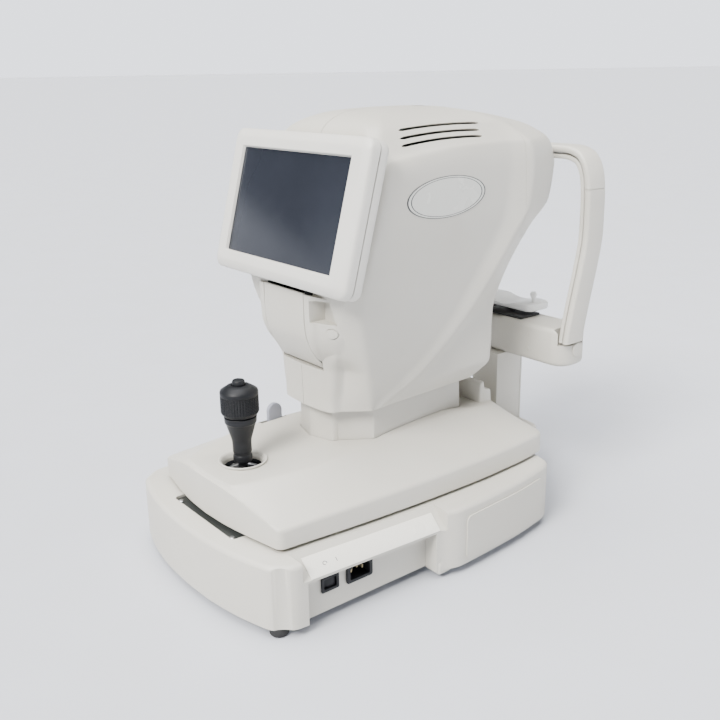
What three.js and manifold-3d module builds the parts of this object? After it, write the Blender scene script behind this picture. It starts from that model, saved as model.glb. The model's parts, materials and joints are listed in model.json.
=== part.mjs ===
// A desktop autorefractor: base, sliding stage, lifting head, tilting screen, printer and chinrest.
// Millimetres. +X is the operator's right, -Y the operator's side, +Z up, z = 0 on the table.
import * as THREE from 'three'
import { mergeVertices } from 'three/addons/utils/BufferGeometryUtils.js'
import Module from 'manifold-3d'

const wasm = await Module()
wasm.setup()

// ---------------------------------------------------------------- driving dimensions
const GAP = 0.3 // clearance between touching pieces
const WALL = 3 // wall of the moulded covers

const CENTRE_Y = 11.5 // half the difference between the front and rear overhangs
const BASE_BOTTOM = 10 // underside of the base cover
const BASE_TOP = 76 // deck that the stage glides over
const STAGE_BOTTOM = 80 // lower rim of the stage cover
const SKIRT_TOP = 185 // top of the neck skirt, hidden inside the head

const RECESS_X = 132 // face of the service panel in the base's side
const RECESS_FRONT = -207
const RECESS_REAR = -52

const SOCKET = { y: -141, z: 41, width: 32, height: 22 } // appliance inlet
const SWITCH = { y: -176.5, z: 40, width: 21, height: 17 } // power rocker

const AXLE = { y: 10, z: BASE_TOP + 3 + GAP + 9, radius: 3 } // cross shaft of the carriage
const WHEEL_RADIUS = 9
const WHEEL_X = 62
const STICK_Y = -186 // joystick axis
const STICK_PIVOT_Z = 112

const SCREEN = { y: -122, z: 377.4, tilt: 15.2, halfWidth: 92.5, halfHeight: 55.5 }
const BEZEL = { halfWidth: 115, halfHeight: 74.5, front: -2, back: 12, corner: 12 }
const BACK_DEPTH = 24 // rear face of the screen's back shell, behind the glass
const HINGE_LINE = { y: 28, z: 66 } // tilt hinge in the screen's own frame

const OPTIC_Z = 388 // height of the measuring axis
const PRINTER = { halfWidth: 35, pivotY: -101, pivotZ: 219 }
const ROLL = { y: -86, z: 252, radius: 21, halfWidth: 28.5 }

const ARM = { halfWidth: 112, front: 178, rear: 228, bottom: 170, top: 215 }
const COLUMN = { halfWidth: 21, front: 168, rear: 213 }
const BOW = { halfWidth: 106, foot: 200, top: 411, footY: 196, lean: 26, leanHeight: 120 }
const CHIN = { y: 212, z: 222 }

// ---------------------------------------------------------------- solids
const bareCopy = (geometry) => {
  const bare = new THREE.BufferGeometry()
  bare.setAttribute('position', geometry.getAttribute('position').clone())
  if (geometry.index) bare.setIndex(geometry.index.clone())
  return mergeVertices(bare, 1e-4)
}

const signedVolume = (position, index) => {
  const [a, b, c] = [new THREE.Vector3(), new THREE.Vector3(), new THREE.Vector3()]
  let sum = 0
  for (let i = 0; i < index.length; i += 3) {
    a.fromArray(position, 3 * index[i])
    b.fromArray(position, 3 * index[i + 1])
    c.fromArray(position, 3 * index[i + 2])
    sum += a.dot(b.cross(c))
  }
  return sum / 6
}

// Turns a closed three.js geometry into a solid with its faces pointing out.
const solid = (geometry) => {
  const merged = bareCopy(geometry)
  const position = merged.getAttribute('position').array
  const source = merged.index.array
  const index = []
  for (let i = 0; i < source.length; i += 3) {
    const [a, b, c] = [source[i], source[i + 1], source[i + 2]]
    if (a !== b && b !== c && a !== c) index.push(a, b, c)
  }
  if (signedVolume(position, index) < 0) index.reverse()
  return new wasm.Manifold(new wasm.Mesh({
    numProp: 3,
    vertProperties: new Float32Array(position),
    triVerts: new Uint32Array(index),
  }))
}

const geometryOf = (manifold) => {
  const mesh = manifold.getMesh()
  const geometry = new THREE.BufferGeometry()
  geometry.setAttribute('position', new THREE.BufferAttribute(new Float32Array(mesh.vertProperties), 3))
  geometry.setIndex(new THREE.BufferAttribute(new Uint32Array(mesh.triVerts), 1))
  geometry.computeVertexNormals()
  return geometry
}

const cut = (from, ...tools) => tools.reduce((rest, tool) => rest.subtract(tool), from)
const join = (first, ...more) => more.reduce((sum, next) => sum.add(next), first)
const keep = (body, zone) => body.intersect(zone)

const box = (x0, x1, y0, y1, z0, z1) => {
  const geometry = new THREE.BoxGeometry(x1 - x0, y1 - y0, z1 - z0)
  geometry.translate((x0 + x1) / 2, (y0 + y1) / 2, (z0 + z1) / 2)
  return solid(geometry)
}

// A round bar between two points.
const bar = (radius, from, to, sides = 20) => {
  const start = new THREE.Vector3(...from)
  const end = new THREE.Vector3(...to)
  const span = end.clone().sub(start)
  const geometry = new THREE.CylinderGeometry(radius, radius, span.length(), sides)
  geometry.applyQuaternion(new THREE.Quaternion().setFromUnitVectors(
    new THREE.Vector3(0, 1, 0), span.clone().normalize()))
  const middle = start.add(end).multiplyScalar(0.5)
  geometry.translate(middle.x, middle.y, middle.z)
  return solid(geometry)
}

// A turned piece on the vertical axis through (x, y); the profile is [radius, z] pairs.
const turned = (profile, x, y, sides = 24) => {
  const geometry = new THREE.LatheGeometry(profile.map(([r, z]) => new THREE.Vector2(r, z)), sides)
  geometry.rotateX(Math.PI / 2)
  geometry.translate(x, y, 0)
  return solid(geometry)
}

// A rounded rectangle outline, centred on the origin.
const roundedShape = (halfWidth, halfHeight, corner) => {
  const shape = new THREE.Shape()
  shape.absarc(halfWidth - corner, halfHeight - corner, corner, 0, Math.PI / 2)
  shape.absarc(corner - halfWidth, halfHeight - corner, corner, Math.PI / 2, Math.PI)
  shape.absarc(corner - halfWidth, corner - halfHeight, corner, Math.PI, 1.5 * Math.PI)
  shape.absarc(halfWidth - corner, corner - halfHeight, corner, 1.5 * Math.PI, 2 * Math.PI)
  shape.closePath()
  return shape
}

// An extrusion whose outline lies in X and Z, from depth y0 to y1.
const plateXZ = (shape, y0, y1, curveSegments = 4) => {
  const geometry = new THREE.ExtrudeGeometry(shape, { depth: y1 - y0, bevelEnabled: false, curveSegments })
  geometry.rotateX(Math.PI / 2)
  geometry.translate(0, y1, 0)
  return solid(geometry)
}

// An extrusion whose outline lies in X and Y, from height z0 to z1.
const plateXY = (shape, z0, z1, curveSegments = 4) => {
  const geometry = new THREE.ExtrudeGeometry(shape, { depth: z1 - z0, bevelEnabled: false, curveSegments })
  geometry.translate(0, 0, z0)
  return solid(geometry)
}

// An extrusion along X of a profile given as [y, z] pairs.
const prismX = (profile, x0, x1) => {
  const shape = new THREE.Shape(profile.map(([y, z]) => new THREE.Vector2(y, z)))
  const geometry = new THREE.ExtrudeGeometry(shape, { depth: x1 - x0, bevelEnabled: false })
  geometry.rotateY(Math.PI / 2)
  geometry.rotateX(Math.PI / 2)
  geometry.translate(x0, 0, 0)
  return solid(geometry)
}

// The full ring of a symmetrical outline, from its right half (front centre to rear centre).
const fullRing = (half) => {
  const left = half.slice(1, -1).reverse().map(([x, y, z]) => [-x, y, z])
  return [...half, ...left]
}

// A closed skin through rings that have the same number of points, with both ends capped.
const loft = (rings) => {
  const count = rings[0].length
  const position = rings.flat(2)
  const index = []
  for (let i = 0; i + 1 < rings.length; i++) {
    for (let j = 0; j < count; j++) {
      const a = i * count + j
      const b = i * count + (j + 1) % count
      index.push(a, b, b + count, a, b + count, a + count)
    }
  }
  const cap = (ring, offset, flip) => {
    const reach = (k, pick) => pick(...ring.map((p) => p[k]))
    const spread = [0, 1, 2].map((k) => reach(k, Math.max) - reach(k, Math.min))
    const thin = spread.indexOf(Math.min(...spread))
    const [u, v] = [(thin + 1) % 3, (thin + 2) % 3]
    const flat = ring.map((p) => new THREE.Vector2(p[u], p[v]))
    const turn = THREE.ShapeUtils.area(flat) > 0
    for (const [a, b, c] of THREE.ShapeUtils.triangulateShape(flat, [])) {
      const [ab, ac] = [flat[b].clone().sub(flat[a]), flat[c].clone().sub(flat[a])]
      const forward = (ab.cross(ac) > 0) === turn
      const [second, third] = forward !== flip ? [b, c] : [c, b]
      index.push(offset + a, offset + second, offset + third)
    }
  }
  cap(rings[0], 0, true)
  cap(rings[rings.length - 1], (rings.length - 1) * count, false)
  const geometry = new THREE.BufferGeometry()
  geometry.setAttribute('position', new THREE.Float32BufferAttribute(position, 3))
  geometry.setIndex(index)
  return solid(geometry)
}

// ---------------------------------------------------------------- materials
const surface = (color, roughness, metalness) => (
  new THREE.MeshStandardMaterial({ color, roughness, metalness })
)
const plastic = (color, roughness = 0.55) => surface(color, roughness, 0)
const metal = (color, roughness = 0.4) => surface(color, roughness, 0.9)

const ivory = plastic(0xd9d6ce)
const paleGrey = plastic(0xe2e2dd)
const black = plastic(0x1b1c1e)
const rubber = plastic(0x202020, 0.85)
const grey = plastic(0x8b8d94)
const cream = plastic(0xe6e0cc, 0.4)
const white = plastic(0xf1f1ee, 0.35)
const dark = plastic(0x2c2d30, 0.3)
const steel = metal(0xb9bcc0)
const aluminium = metal(0xc9ccd0, 0.5)
const brass = metal(0xc2a35a)
const green = plastic(0x2f6b45)
const glass = surface(0x3a3f49, 0.08, 0)
const paper = plastic(0xf7f6f1, 0.9)

const autorefractor = new THREE.Group()

const place = (parent, name, body, material) => {
  const mesh = new THREE.Mesh(geometryOf(body), material)
  mesh.name = name
  parent.add(mesh)
}

// ---------------------------------------------------------------- base
// Right half of the base's outline, front centre to rear centre.
const BASE_OUTLINE = [
  [0, -260], [45, -258.5], [90, -251], [126, -240], [140, -221], [141, -206], [149, -47], [156, -28],
  [155, 0], [150, 70], [141, 121], [134, 135], [70, 150], [52, 213], [0, 219],
]

const baseRing = (inset, z) => fullRing(BASE_OUTLINE.map(([x, y]) => {
  const middle = -20
  return [x * (1 - inset / 145), middle + (y - middle) * (1 - inset / 235), z]
}))

const baseBlock = (inset, bottom, top) => loft([
  baseRing(inset, bottom), baseRing(inset, top - 8), baseRing(inset + 5, top),
])

// The sloping ledge over the service panel, cut away by what lies above it.
// Each end: [y, x of its upper edge, x of its lower edge].
const LEDGE_ENDS = [[-212, 118, 141], [-40, 130, 150]]
const LEDGE_MIDDLE = -126
const LEDGE_FOOT = 56

const ledgeCut = (lift) => loft(LEDGE_ENDS.map(([end, upper, lower]) => {
  const y = end + Math.sign(end - LEDGE_MIDDLE) * lift
  return [
    [upper - lift, y, BASE_TOP - lift], [upper - lift, y, 90], [170, y, 90], [170, y, 45],
    [lower - lift, y, LEDGE_FOOT],
  ]
}))

const makeBase = () => {
  const recess = (x, low) => {
    const grow = RECESS_X - x
    return box(x, 170, RECESS_FRONT - grow, RECESS_REAR + grow, low, 54 + grow)
  }
  const outside = cut(baseBlock(0, BASE_BOTTOM, BASE_TOP), ledgeCut(0), recess(RECESS_X, 0))
  const inside = cut(baseBlock(WALL, 0, BASE_TOP - WALL), ledgeCut(WALL), recess(RECESS_X - WALL, 0))
  const frictionWindow = box(-58, 58, -237, -150, 60, 90)
  const cableHole = box(-20, 20, 60, 90, 60, 90)
  const boltHoles = [-1, 1].map((side) => bar(3, [side * 12, 190, 60], [side * 12, 190, 90], 10))
  const cover = cut(
    outside, inside, frictionWindow, cableHole, ...boltHoles,
    box(120, 140, SOCKET.y - 14, SOCKET.y + 14, SOCKET.z - 9, SOCKET.z + 9),
    box(120, 140, SWITCH.y - 8.5, SWITCH.y + 8.5, SWITCH.z - 6.5, SWITCH.z + 6.5),
  )
  place(autorefractor, 'base_cover', cover, ivory)

  const pan = loft([baseRing(WALL + GAP, BASE_BOTTOM), baseRing(WALL + GAP, BASE_BOTTOM + 2)])
  const panCut = box(RECESS_X - WALL - GAP, 170, RECESS_FRONT - 4, RECESS_REAR + 4, 0, 30)
  place(autorefractor, 'base_plate', cut(pan, panCut), aluminium)

  const feet = {
    foot_front_right: [121, -228], foot_front_left: [-121, -228],
    foot_rear_right: [122, 112], foot_rear_left: [-122, 112],
  }
  for (const [name, [x, y]] of Object.entries(feet)) {
    const profile = [[0, 0], [8, 0], [9.5, 2], [9.5, BASE_BOTTOM - GAP], [0, BASE_BOTTOM - GAP]]
    place(autorefractor, name, turned(profile, x, y), rubber)
  }

  const stripEnd = (y, upper, lower) => [
    [upper - 0.2, y, 73.6], [upper + 0.4, y, 74.4], [lower + 0.6, y, 58.6], [lower, y, 58],
  ]
  const trimStrip = loft([stripEnd(-203, 123.6, 141.4), stripEnd(-48, 133.4, 149)])
  place(autorefractor, 'switch_trim_strip', trimStrip, cream)

  const socketBody = join(
    box(110, RECESS_X + GAP + 0.1, SOCKET.y - 13.5, SOCKET.y + 13.5, SOCKET.z - 8.5, SOCKET.z + 8.5),
    box(RECESS_X + GAP, RECESS_X + 3, SOCKET.y - SOCKET.width / 2, SOCKET.y + SOCKET.width / 2,
      SOCKET.z - SOCKET.height / 2, SOCKET.z + SOCKET.height / 2),
  )
  const socketHollow = box(116, 140, SOCKET.y - 12, SOCKET.y + 12, SOCKET.z - 7.5, SOCKET.z + 7.5)
  place(autorefractor, 'power_inlet', cut(socketBody, socketHollow), black)
  const pins = [[-7, -1], [0, 2], [7, -1]].map(([dy, dz]) => {
    const [y, z] = [SOCKET.y + dy, SOCKET.z + dz]
    return box(116 + GAP, 130, y - 1, y + 1, z - 2, z + 2)
  })
  const pinBridge = box(116 + GAP, 117.5, SOCKET.y - 8, SOCKET.y + 8, SOCKET.z - 3, SOCKET.z + 4)
  place(autorefractor, 'inlet_pins', join(pinBridge, ...pins), brass)

  const switchBody = join(
    box(112, RECESS_X + GAP + 0.1, SWITCH.y - 8, SWITCH.y + 8, SWITCH.z - 6, SWITCH.z + 6),
    box(RECESS_X + GAP, RECESS_X + 2.3, SWITCH.y - SWITCH.width / 2, SWITCH.y + SWITCH.width / 2,
      SWITCH.z - SWITCH.height / 2, SWITCH.z + SWITCH.height / 2),
  )
  const switchHollow = box(122, 140, SWITCH.y - 7.3, SWITCH.y + 7.3, SWITCH.z - 5.3, SWITCH.z + 5.3)
  place(autorefractor, 'switch_housing', cut(switchBody, switchHollow), black)
  makeRocker()

  place(autorefractor, 'power_supply', box(-20, 100, -130, -20, 14, 52), steel)
  const plateTop = BASE_TOP - WALL - GAP
  place(autorefractor, 'friction_plate', box(-64, 64, -242, -144, plateTop - 3, plateTop), dark)
  const rails = [-1, 1].map((side) => {
    const x = side * WHEEL_X
    return box(x - 5, x + 5, AXLE.y - 48, AXLE.y + 16, BASE_TOP + GAP, BASE_TOP + 3)
  })
  const railTie = box(-WHEEL_X, WHEEL_X, AXLE.y - 48, AXLE.y - 38, BASE_TOP + GAP, BASE_TOP + 2)
  place(autorefractor, 'slide_rails', join(railTie, ...rails), steel)
}

// The power rocker: a shallow V seen from above, its front half pressed in at rest.
const makeRocker = () => {
  const shape = new THREE.Shape([
    new THREE.Vector2(-4, -4), new THREE.Vector2(1.2, -6.6), new THREE.Vector2(2.2, 0),
    new THREE.Vector2(1.2, 6.6), new THREE.Vector2(-4, 4),
  ])
  const group = new THREE.Group()
  group.position.set(130.5, SWITCH.y, SWITCH.z)
  group.rotation.z = THREE.MathUtils.degToRad(-7)
  place(group, 'power_rocker', plateXY(shape, -5, 5), black)
  autorefractor.add(group)
}

// ---------------------------------------------------------------- carriage under the stage
const makeCarriage = () => {
  const { y, z, radius } = AXLE
  const ears = [-1, 1].map((side) => box(side * 72 - 2, side * 72 + 2, y - 6, y + 18, z - 6, z + 6))
  const frame = cut(
    join(box(-74, 74, y + 12, y + 18, z - 4, z + 4), ...ears),
    bar(radius + GAP, [-80, y, z], [80, y, z]),
  )
  place(autorefractor, 'carriage_frame', frame, aluminium)
  const rollers = [-1, 1].map((side) => {
    const x = side * WHEEL_X
    return bar(WHEEL_RADIUS, [x - 4, y, z], [x + 4, y, z], 32)
  })
  place(autorefractor, 'roller_axle', join(bar(radius, [-76, y, z], [76, y, z]), ...rollers), steel)
}

// ---------------------------------------------------------------- stage
// Right half of the stage's outline with the height of its side wall, front centre to rear centre.
const STAGE_WALL = [
  [0, -233, 120], [44, -231, 119], [113, -218, 99], [116, -179, 100], [120, -134, 101], [124, -60, 102],
  [125, 0, 103], [125, 40, 103], [121, 110, 103], [114, 148, 101], [60, 156, 103], [0, 158, 104],
]
// Right half of the raised platform's edge, point for point with the wall.
const STAGE_PLATFORM = [
  [0, -229, 124], [42, -226, 123], [53, -205, 125], [66, -165, 127], [71, -128, 128.5], [62, -60, 131],
  [58, 0, 132], [58, 40, 132], [61, 97, 131], [54, 128, 126], [30, 136, 126], [0, 138, 126],
]

const stageBlock = (inset, bottom) => {
  const shrink = (x, y, z) => [x * (1 - inset / 120), -35 + (y + 35) * (1 - inset / 195), z]
  return loft([
    fullRing(STAGE_WALL.map(([x, y]) => shrink(x, y, bottom))),
    fullRing(STAGE_WALL.map(([x, y, z]) => shrink(x, y, z - inset))),
    fullRing(STAGE_PLATFORM.map(([x, y, z]) => shrink(x, y, z - inset))),
  ])
}

// Right half of the neck's outline, front centre to rear centre.
const NECK_OUTLINE = [[0, -101], [30, -93], [33, -87], [57, -58], [52, -30], [46, 30], [38, 90], [0, 92]]

const neckRing = (inset, z) => fullRing(NECK_OUTLINE.map(([x, y]) => (
  [x * (1 - inset / 52), (y + 2) * (1 - inset / 98) - 2, z]
)))

const makeStage = () => {
  const shell = cut(stageBlock(0, STAGE_BOTTOM), stageBlock(WALL, STAGE_BOTTOM - 10))
  const stickHole = bar(19, [0, STICK_Y, 110], [0, STICK_Y, 140], 32)
  const neckHole = loft([neckRing(-GAP, 90), neckRing(-GAP, 150)])
  const leverSlot = box(-70.5, -63.5, -118, -88, 110, 150)
  place(autorefractor, 'stage_cover', cut(shell, stickHole, neckHole, leverSlot), ivory)

  const skirt = cut(
    loft([neckRing(0, 106), neckRing(2, SKIRT_TOP)]),
    loft([neckRing(2.5, 100), neckRing(4.5, SKIRT_TOP + 5)]),
  )
  place(autorefractor, 'neck_skirt', skirt, ivory)

  // The chassis plate carries the bearing block that rides the cross axle and the two guide columns.
  const guideColumns = [-1, 1].map((side) => bar(6, [side * 32, 20, 102], [side * 32, 20, 240]))
  const chassis = cut(
    join(
      box(-90, 90, -150, 120, 100, 104), box(-14, 14, AXLE.y - 8, AXLE.y + 8, 82, 101),
      ...guideColumns,
    ),
    bar(AXLE.radius + GAP, [-20, AXLE.y, AXLE.z], [20, AXLE.y, AXLE.z]),
    box(-100, -40, 60, 130, 90, 110),
    box(40, 100, 60, 130, 90, 110),
    box(-72, -62, -125, -80, 90, 110),
  )
  place(autorefractor, 'stage_chassis', chassis, aluminium)
  place(autorefractor, 'lift_screw', bar(5, [0, 40, 104 + GAP], [0, 40, 240]), steel)

  const socket = cut(
    bar(26, [0, STICK_Y, 106], [0, STICK_Y, 118], 32),
    bar(20, [0, STICK_Y, 100], [0, STICK_Y, 125], 32),
    bar(1.8, [-30, STICK_Y, STICK_PIVOT_Z], [30, STICK_Y, STICK_PIVOT_Z], 12),
  )
  place(autorefractor, 'joystick_socket', socket, black)
}

// The D-shaped stage lock, standing in its slot beside the neck.
const makeLock = () => {
  const shape = new THREE.Shape()
  shape.moveTo(-9, 112)
  shape.lineTo(9, 112)
  shape.lineTo(9, 139)
  shape.absarc(0, 139, 9, 0, Math.PI)
  shape.lineTo(-9, 112)
  const geometry = new THREE.ExtrudeGeometry(shape, { depth: 5, bevelEnabled: false, curveSegments: 10 })
  geometry.rotateX(Math.PI / 2)
  geometry.rotateZ(Math.PI / 2)
  geometry.translate(-69.5, -103, 0)
  place(autorefractor, 'lock_lever', solid(geometry), grey)
}

// ---------------------------------------------------------------- joystick
const makeJoystick = () => {
  const pivot = STICK_PIVOT_Z
  const ring = cut(
    bar(17, [0, STICK_Y, pivot - 3], [0, STICK_Y, pivot + 3], 28),
    bar(12.5, [0, STICK_Y, pivot - 4], [0, STICK_Y, pivot + 4], 28),
    bar(1.8, [0, STICK_Y - 20, pivot], [0, STICK_Y + 20, pivot], 12),
  )
  const trunnions = [-1, 1].map((side) => (
    bar(1.5, [side * 16.5, STICK_Y, pivot], [side * 25, STICK_Y, pivot], 12)
  ))
  place(autorefractor, 'joystick_gimbal', join(ring, ...trunnions), steel)

  const shaft = turned([
    [0, 73.4], [3.5, 74.2], [6.2, 77.5], [7, 81], [6.2, 84.5], [5, 87], [5, 124], [9.5, 128], [9.5, 146],
    [16, 171], [16.8, 174], [10, 174 + GAP], [10, 205], [0, 205],
  ], 0, STICK_Y)
  const crossPin = bar(1.5, [0, STICK_Y - 16, pivot], [0, STICK_Y + 16, pivot], 12)
  const buttonWell = turned([[0, 203], [7, 203], [7, 210], [0, 210]], 0, STICK_Y)
  place(autorefractor, 'joystick_shaft', cut(join(shaft, crossPin), buttonWell), black)

  const gripFoot = [10 + GAP, 174.5 + GAP]
  const grip = turned([
    gripFoot, [18.5, 174.5 + GAP], [19.5, 177], [19.5, 199], [18, 203], [12, 207], [10 + GAP, 207], gripFoot,
  ], 0, STICK_Y, 36)
  place(autorefractor, 'elevation_ring', grip, black)

  const button = turned([[0, 205], [6.5, 205], [6.5, 211], [5, 212.6], [0, 213]], 0, STICK_Y)
  place(autorefractor, 'measure_button', button, black)
}

// ---------------------------------------------------------------- head
// One station per height: the head's outline there, as the right half from front to rear.
// front: y of the front face; brow: its half width; corner: where front meets side;
// ridge: the raised edge of the side panel; nose: the narrower rear; rear: y of the rear face.
const HEAD_STATIONS = [
  { z: 167, front: -108, brow: 42, corner: [65, -66], ridge: [63, -50], nose: [50, 96], rear: 102 },
  { z: 190, front: -109, brow: 46, corner: [71, -73], ridge: [70, -40], nose: [68, 106], rear: 111 },
  { z: 250, front: -113, brow: 60, corner: [88, -94], ridge: [85, 31], nose: [69, 108], rear: 113 },
  { z: 290, front: -118, brow: 80, corner: [98, -104], ridge: [91, 60], nose: [69, 126], rear: 131 },
  { z: 335, front: -108, brow: 96, corner: [104, -97], ridge: [95, 84], nose: [69, 158], rear: 163 },
  { z: 365, front: -100, brow: 98, corner: [106, -89], ridge: [97, 94], nose: [71, 191], rear: 196 },
  { z: 400, front: -90, brow: 98, corner: [105, -79], ridge: [96, 97], nose: [72, 196], rear: 200 },
  { z: 425, front: -84, brow: 92, corner: [99, -74], ridge: [90, 98], nose: [68, 192], rear: 197 },
  { z: 440, front: -80, brow: 80, corner: [88, -70], ridge: [80, 97], nose: [57, 173], rear: 181 },
  { z: 452, front: -73, brow: 64, corner: [73, -62], ridge: [66, 90], nose: [47, 138], rear: 149 },
  { z: 462, front: -54, brow: 42, corner: [52, -42], ridge: [48, 76], nose: [34, 94], rear: 106 },
  { z: 468, front: -16, brow: 18, corner: [24, -8], ridge: [22, 46], nose: [14, 54], rear: 66 },
]

const headRing = (station, inset) => {
  const { z, front, brow, corner, ridge, nose, rear } = station
  const step = 7 // depth of the raised panel's edge
  const half = [
    [0, front], [brow, front + 3], corner, ridge, [ridge[0] - step, ridge[1] + 2 * step],
    [nose[0] + 4, nose[1] - 4], [nose[0] - 14, nose[1] + 4], [0, rear],
  ]
  const [middleY, spanX] = [(front + rear) / 2, Math.max(corner[0], 30)]
  const spanY = (rear - front) / 2
  return fullRing(half.map(([x, y]) => (
    [x * (1 - inset / spanX), middleY + (y - middleY) * (1 - inset / spanY), z]
  )))
}

const headBlock = (inset, low, high) => {
  const rings = HEAD_STATIONS.map((station) => headRing(station, inset))
  rings[0] = rings[0].map(([x, y, z]) => [x, y, z + low])
  rings[rings.length - 1] = rings[rings.length - 1].map(([x, y, z]) => [x, y, z + high])
  return loft(rings)
}

// The housing that stands out round the printer, wider at its top than at its foot: [z, front, scale].
const SNOUT_STATIONS = [
  [216, -107, 0.72], [226, -113, 0.8], [240, -122, 0.92], [262, -128, 1], [300, -128, 1],
]

const snout = (inset) => loft(SNOUT_STATIONS.map(([z, front, scale]) => {
  const y = front + inset
  const half = [[0, y], [45, y], [49, y + 6], [66, y + 13], [76, y + 29], [76, -60], [0, -60]]
  return fullRing(half.map(([x, depth]) => [x * scale * (1 - inset / 76), depth, z]))
}))

const screenGroup = new THREE.Group()
screenGroup.position.set(0, SCREEN.y, SCREEN.z)
screenGroup.rotation.x = THREE.MathUtils.degToRad(-SCREEN.tilt)
autorefractor.add(screenGroup)

// A box given in the screen's own frame, as a solid in the object's frame.
const screenBox = (x0, x1, y0, y1, z0, z1) => {
  const geometry = new THREE.BoxGeometry(x1 - x0, y1 - y0, z1 - z0)
  geometry.translate((x0 + x1) / 2, (y0 + y1) / 2, (z0 + z1) / 2)
  geometry.rotateX(screenGroup.rotation.x)
  geometry.translate(0, SCREEN.y, SCREEN.z)
  return solid(geometry)
}

const makeHead = () => {
  const noseZone = box(-120, 120, 122, 230, 330, 460)
  const shell = cut(
    join(headBlock(0, 0, 0), snout(0)), headBlock(WALL, -6, -WALL), snout(WALL),
    screenBox(-130, 130, -60, BACK_DEPTH + 2.5, -80, 140),
    screenBox(-46, 46, BACK_DEPTH, BACK_DEPTH + 14, 52, 73.5),
    box(-PRINTER.halfWidth - 1, PRINTER.halfWidth + 1, -140, -70, 213, 305),
    bar(30 + GAP, [0, 180, OPTIC_Z], [0, 230, OPTIC_Z], 36),
    bar(5.3, [63, -140, 259], [63, -80, 259], 16),
  )
  const seam = 0.15
  const right = box(seam, 140, -140, 230, 150, 480)
  const left = box(-140, -seam, -140, 230, 150, 480)
  const front = cut(shell, noseZone)
  place(autorefractor, 'head_cover_right', keep(front, right), ivory)
  place(autorefractor, 'head_cover_left', keep(front, left), ivory)
  const nosePart = box(-120, 120, 122 + GAP, 230, 330 + GAP, 460 - GAP)
  place(autorefractor, 'head_nose_cover', keep(shell, nosePart), ivory)

  const chassisZ = 212
  const sleeves = [-1, 1].map((side) => (
    bar(9.5, [side * 32, 20, chassisZ - 12], [side * 32, 20, chassisZ + 16], 20)
  ))
  const bores = [-1, 1].map((side) => bar(6 + GAP, [side * 32, 20, 190], [side * 32, 20, 240], 20))
  const chassis = cut(
    join(box(-48, 48, -50, 80, chassisZ, chassisZ + 4), ...sleeves), ...bores,
    bar(12 + GAP, [0, 40, 190], [0, 40, 240], 24),
  )
  place(autorefractor, 'head_chassis', chassis, aluminium)
  const nut = cut(
    bar(12, [0, 40, chassisZ - 8], [0, 40, chassisZ + 10], 24),
    bar(5 + GAP, [0, 40, 190], [0, 40, 240], 20),
  )
  place(autorefractor, 'lift_nut', nut, brass)

  const bench = join(
    box(-52, 52, -40, 90, 264, 270),
    box(-44, -38, 40, 60, 216 + GAP, 265),
    box(38, 44, 40, 60, 216 + GAP, 265),
    box(-8, 8, 100 - 14, 100 - 8, 269, OPTIC_Z - 24),
  )
  place(autorefractor, 'optical_bench', bench, aluminium)
  place(autorefractor, 'measuring_unit', box(-46, 46, -30, 74, 320, 432), black)
  const barrel = cut(
    join(
      bar(23, [0, 74 + GAP, OPTIC_Z], [0, 188, OPTIC_Z], 28),
      box(-14, 14, 80, 110, 270 + GAP, OPTIC_Z - 18),
    ),
    bar(19, [0, 90, OPTIC_Z], [0, 210, OPTIC_Z], 28),
    box(-8 - GAP, 8 + GAP, 100 - 15, 100 - 7, 265, OPTIC_Z - 24 + GAP),
  )
  place(autorefractor, 'objective_barrel', barrel, black)
  const lens = turned([[0, 0], [18.5, 1.5], [18.5, 4.5], [0, 7]], 0, 0, 28)
  const lensMesh = new THREE.Mesh(geometryOf(lens), glass)
  lensMesh.name = 'objective_lens'
  lensMesh.rotation.x = -Math.PI / 2
  lensMesh.position.set(0, 176, OPTIC_Z)
  autorefractor.add(lensMesh)
  const windowRing = cut(
    bar(30, [0, 191, OPTIC_Z], [0, 200.5, OPTIC_Z], 36),
    bar(22, [0, 185, OPTIC_Z], [0, 205, OPTIC_Z], 36),
  )
  place(autorefractor, 'measuring_window', windowRing, black)
  place(autorefractor, 'main_board', box(-60, 60, -36, 70, 290, 292), green)
}

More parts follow.
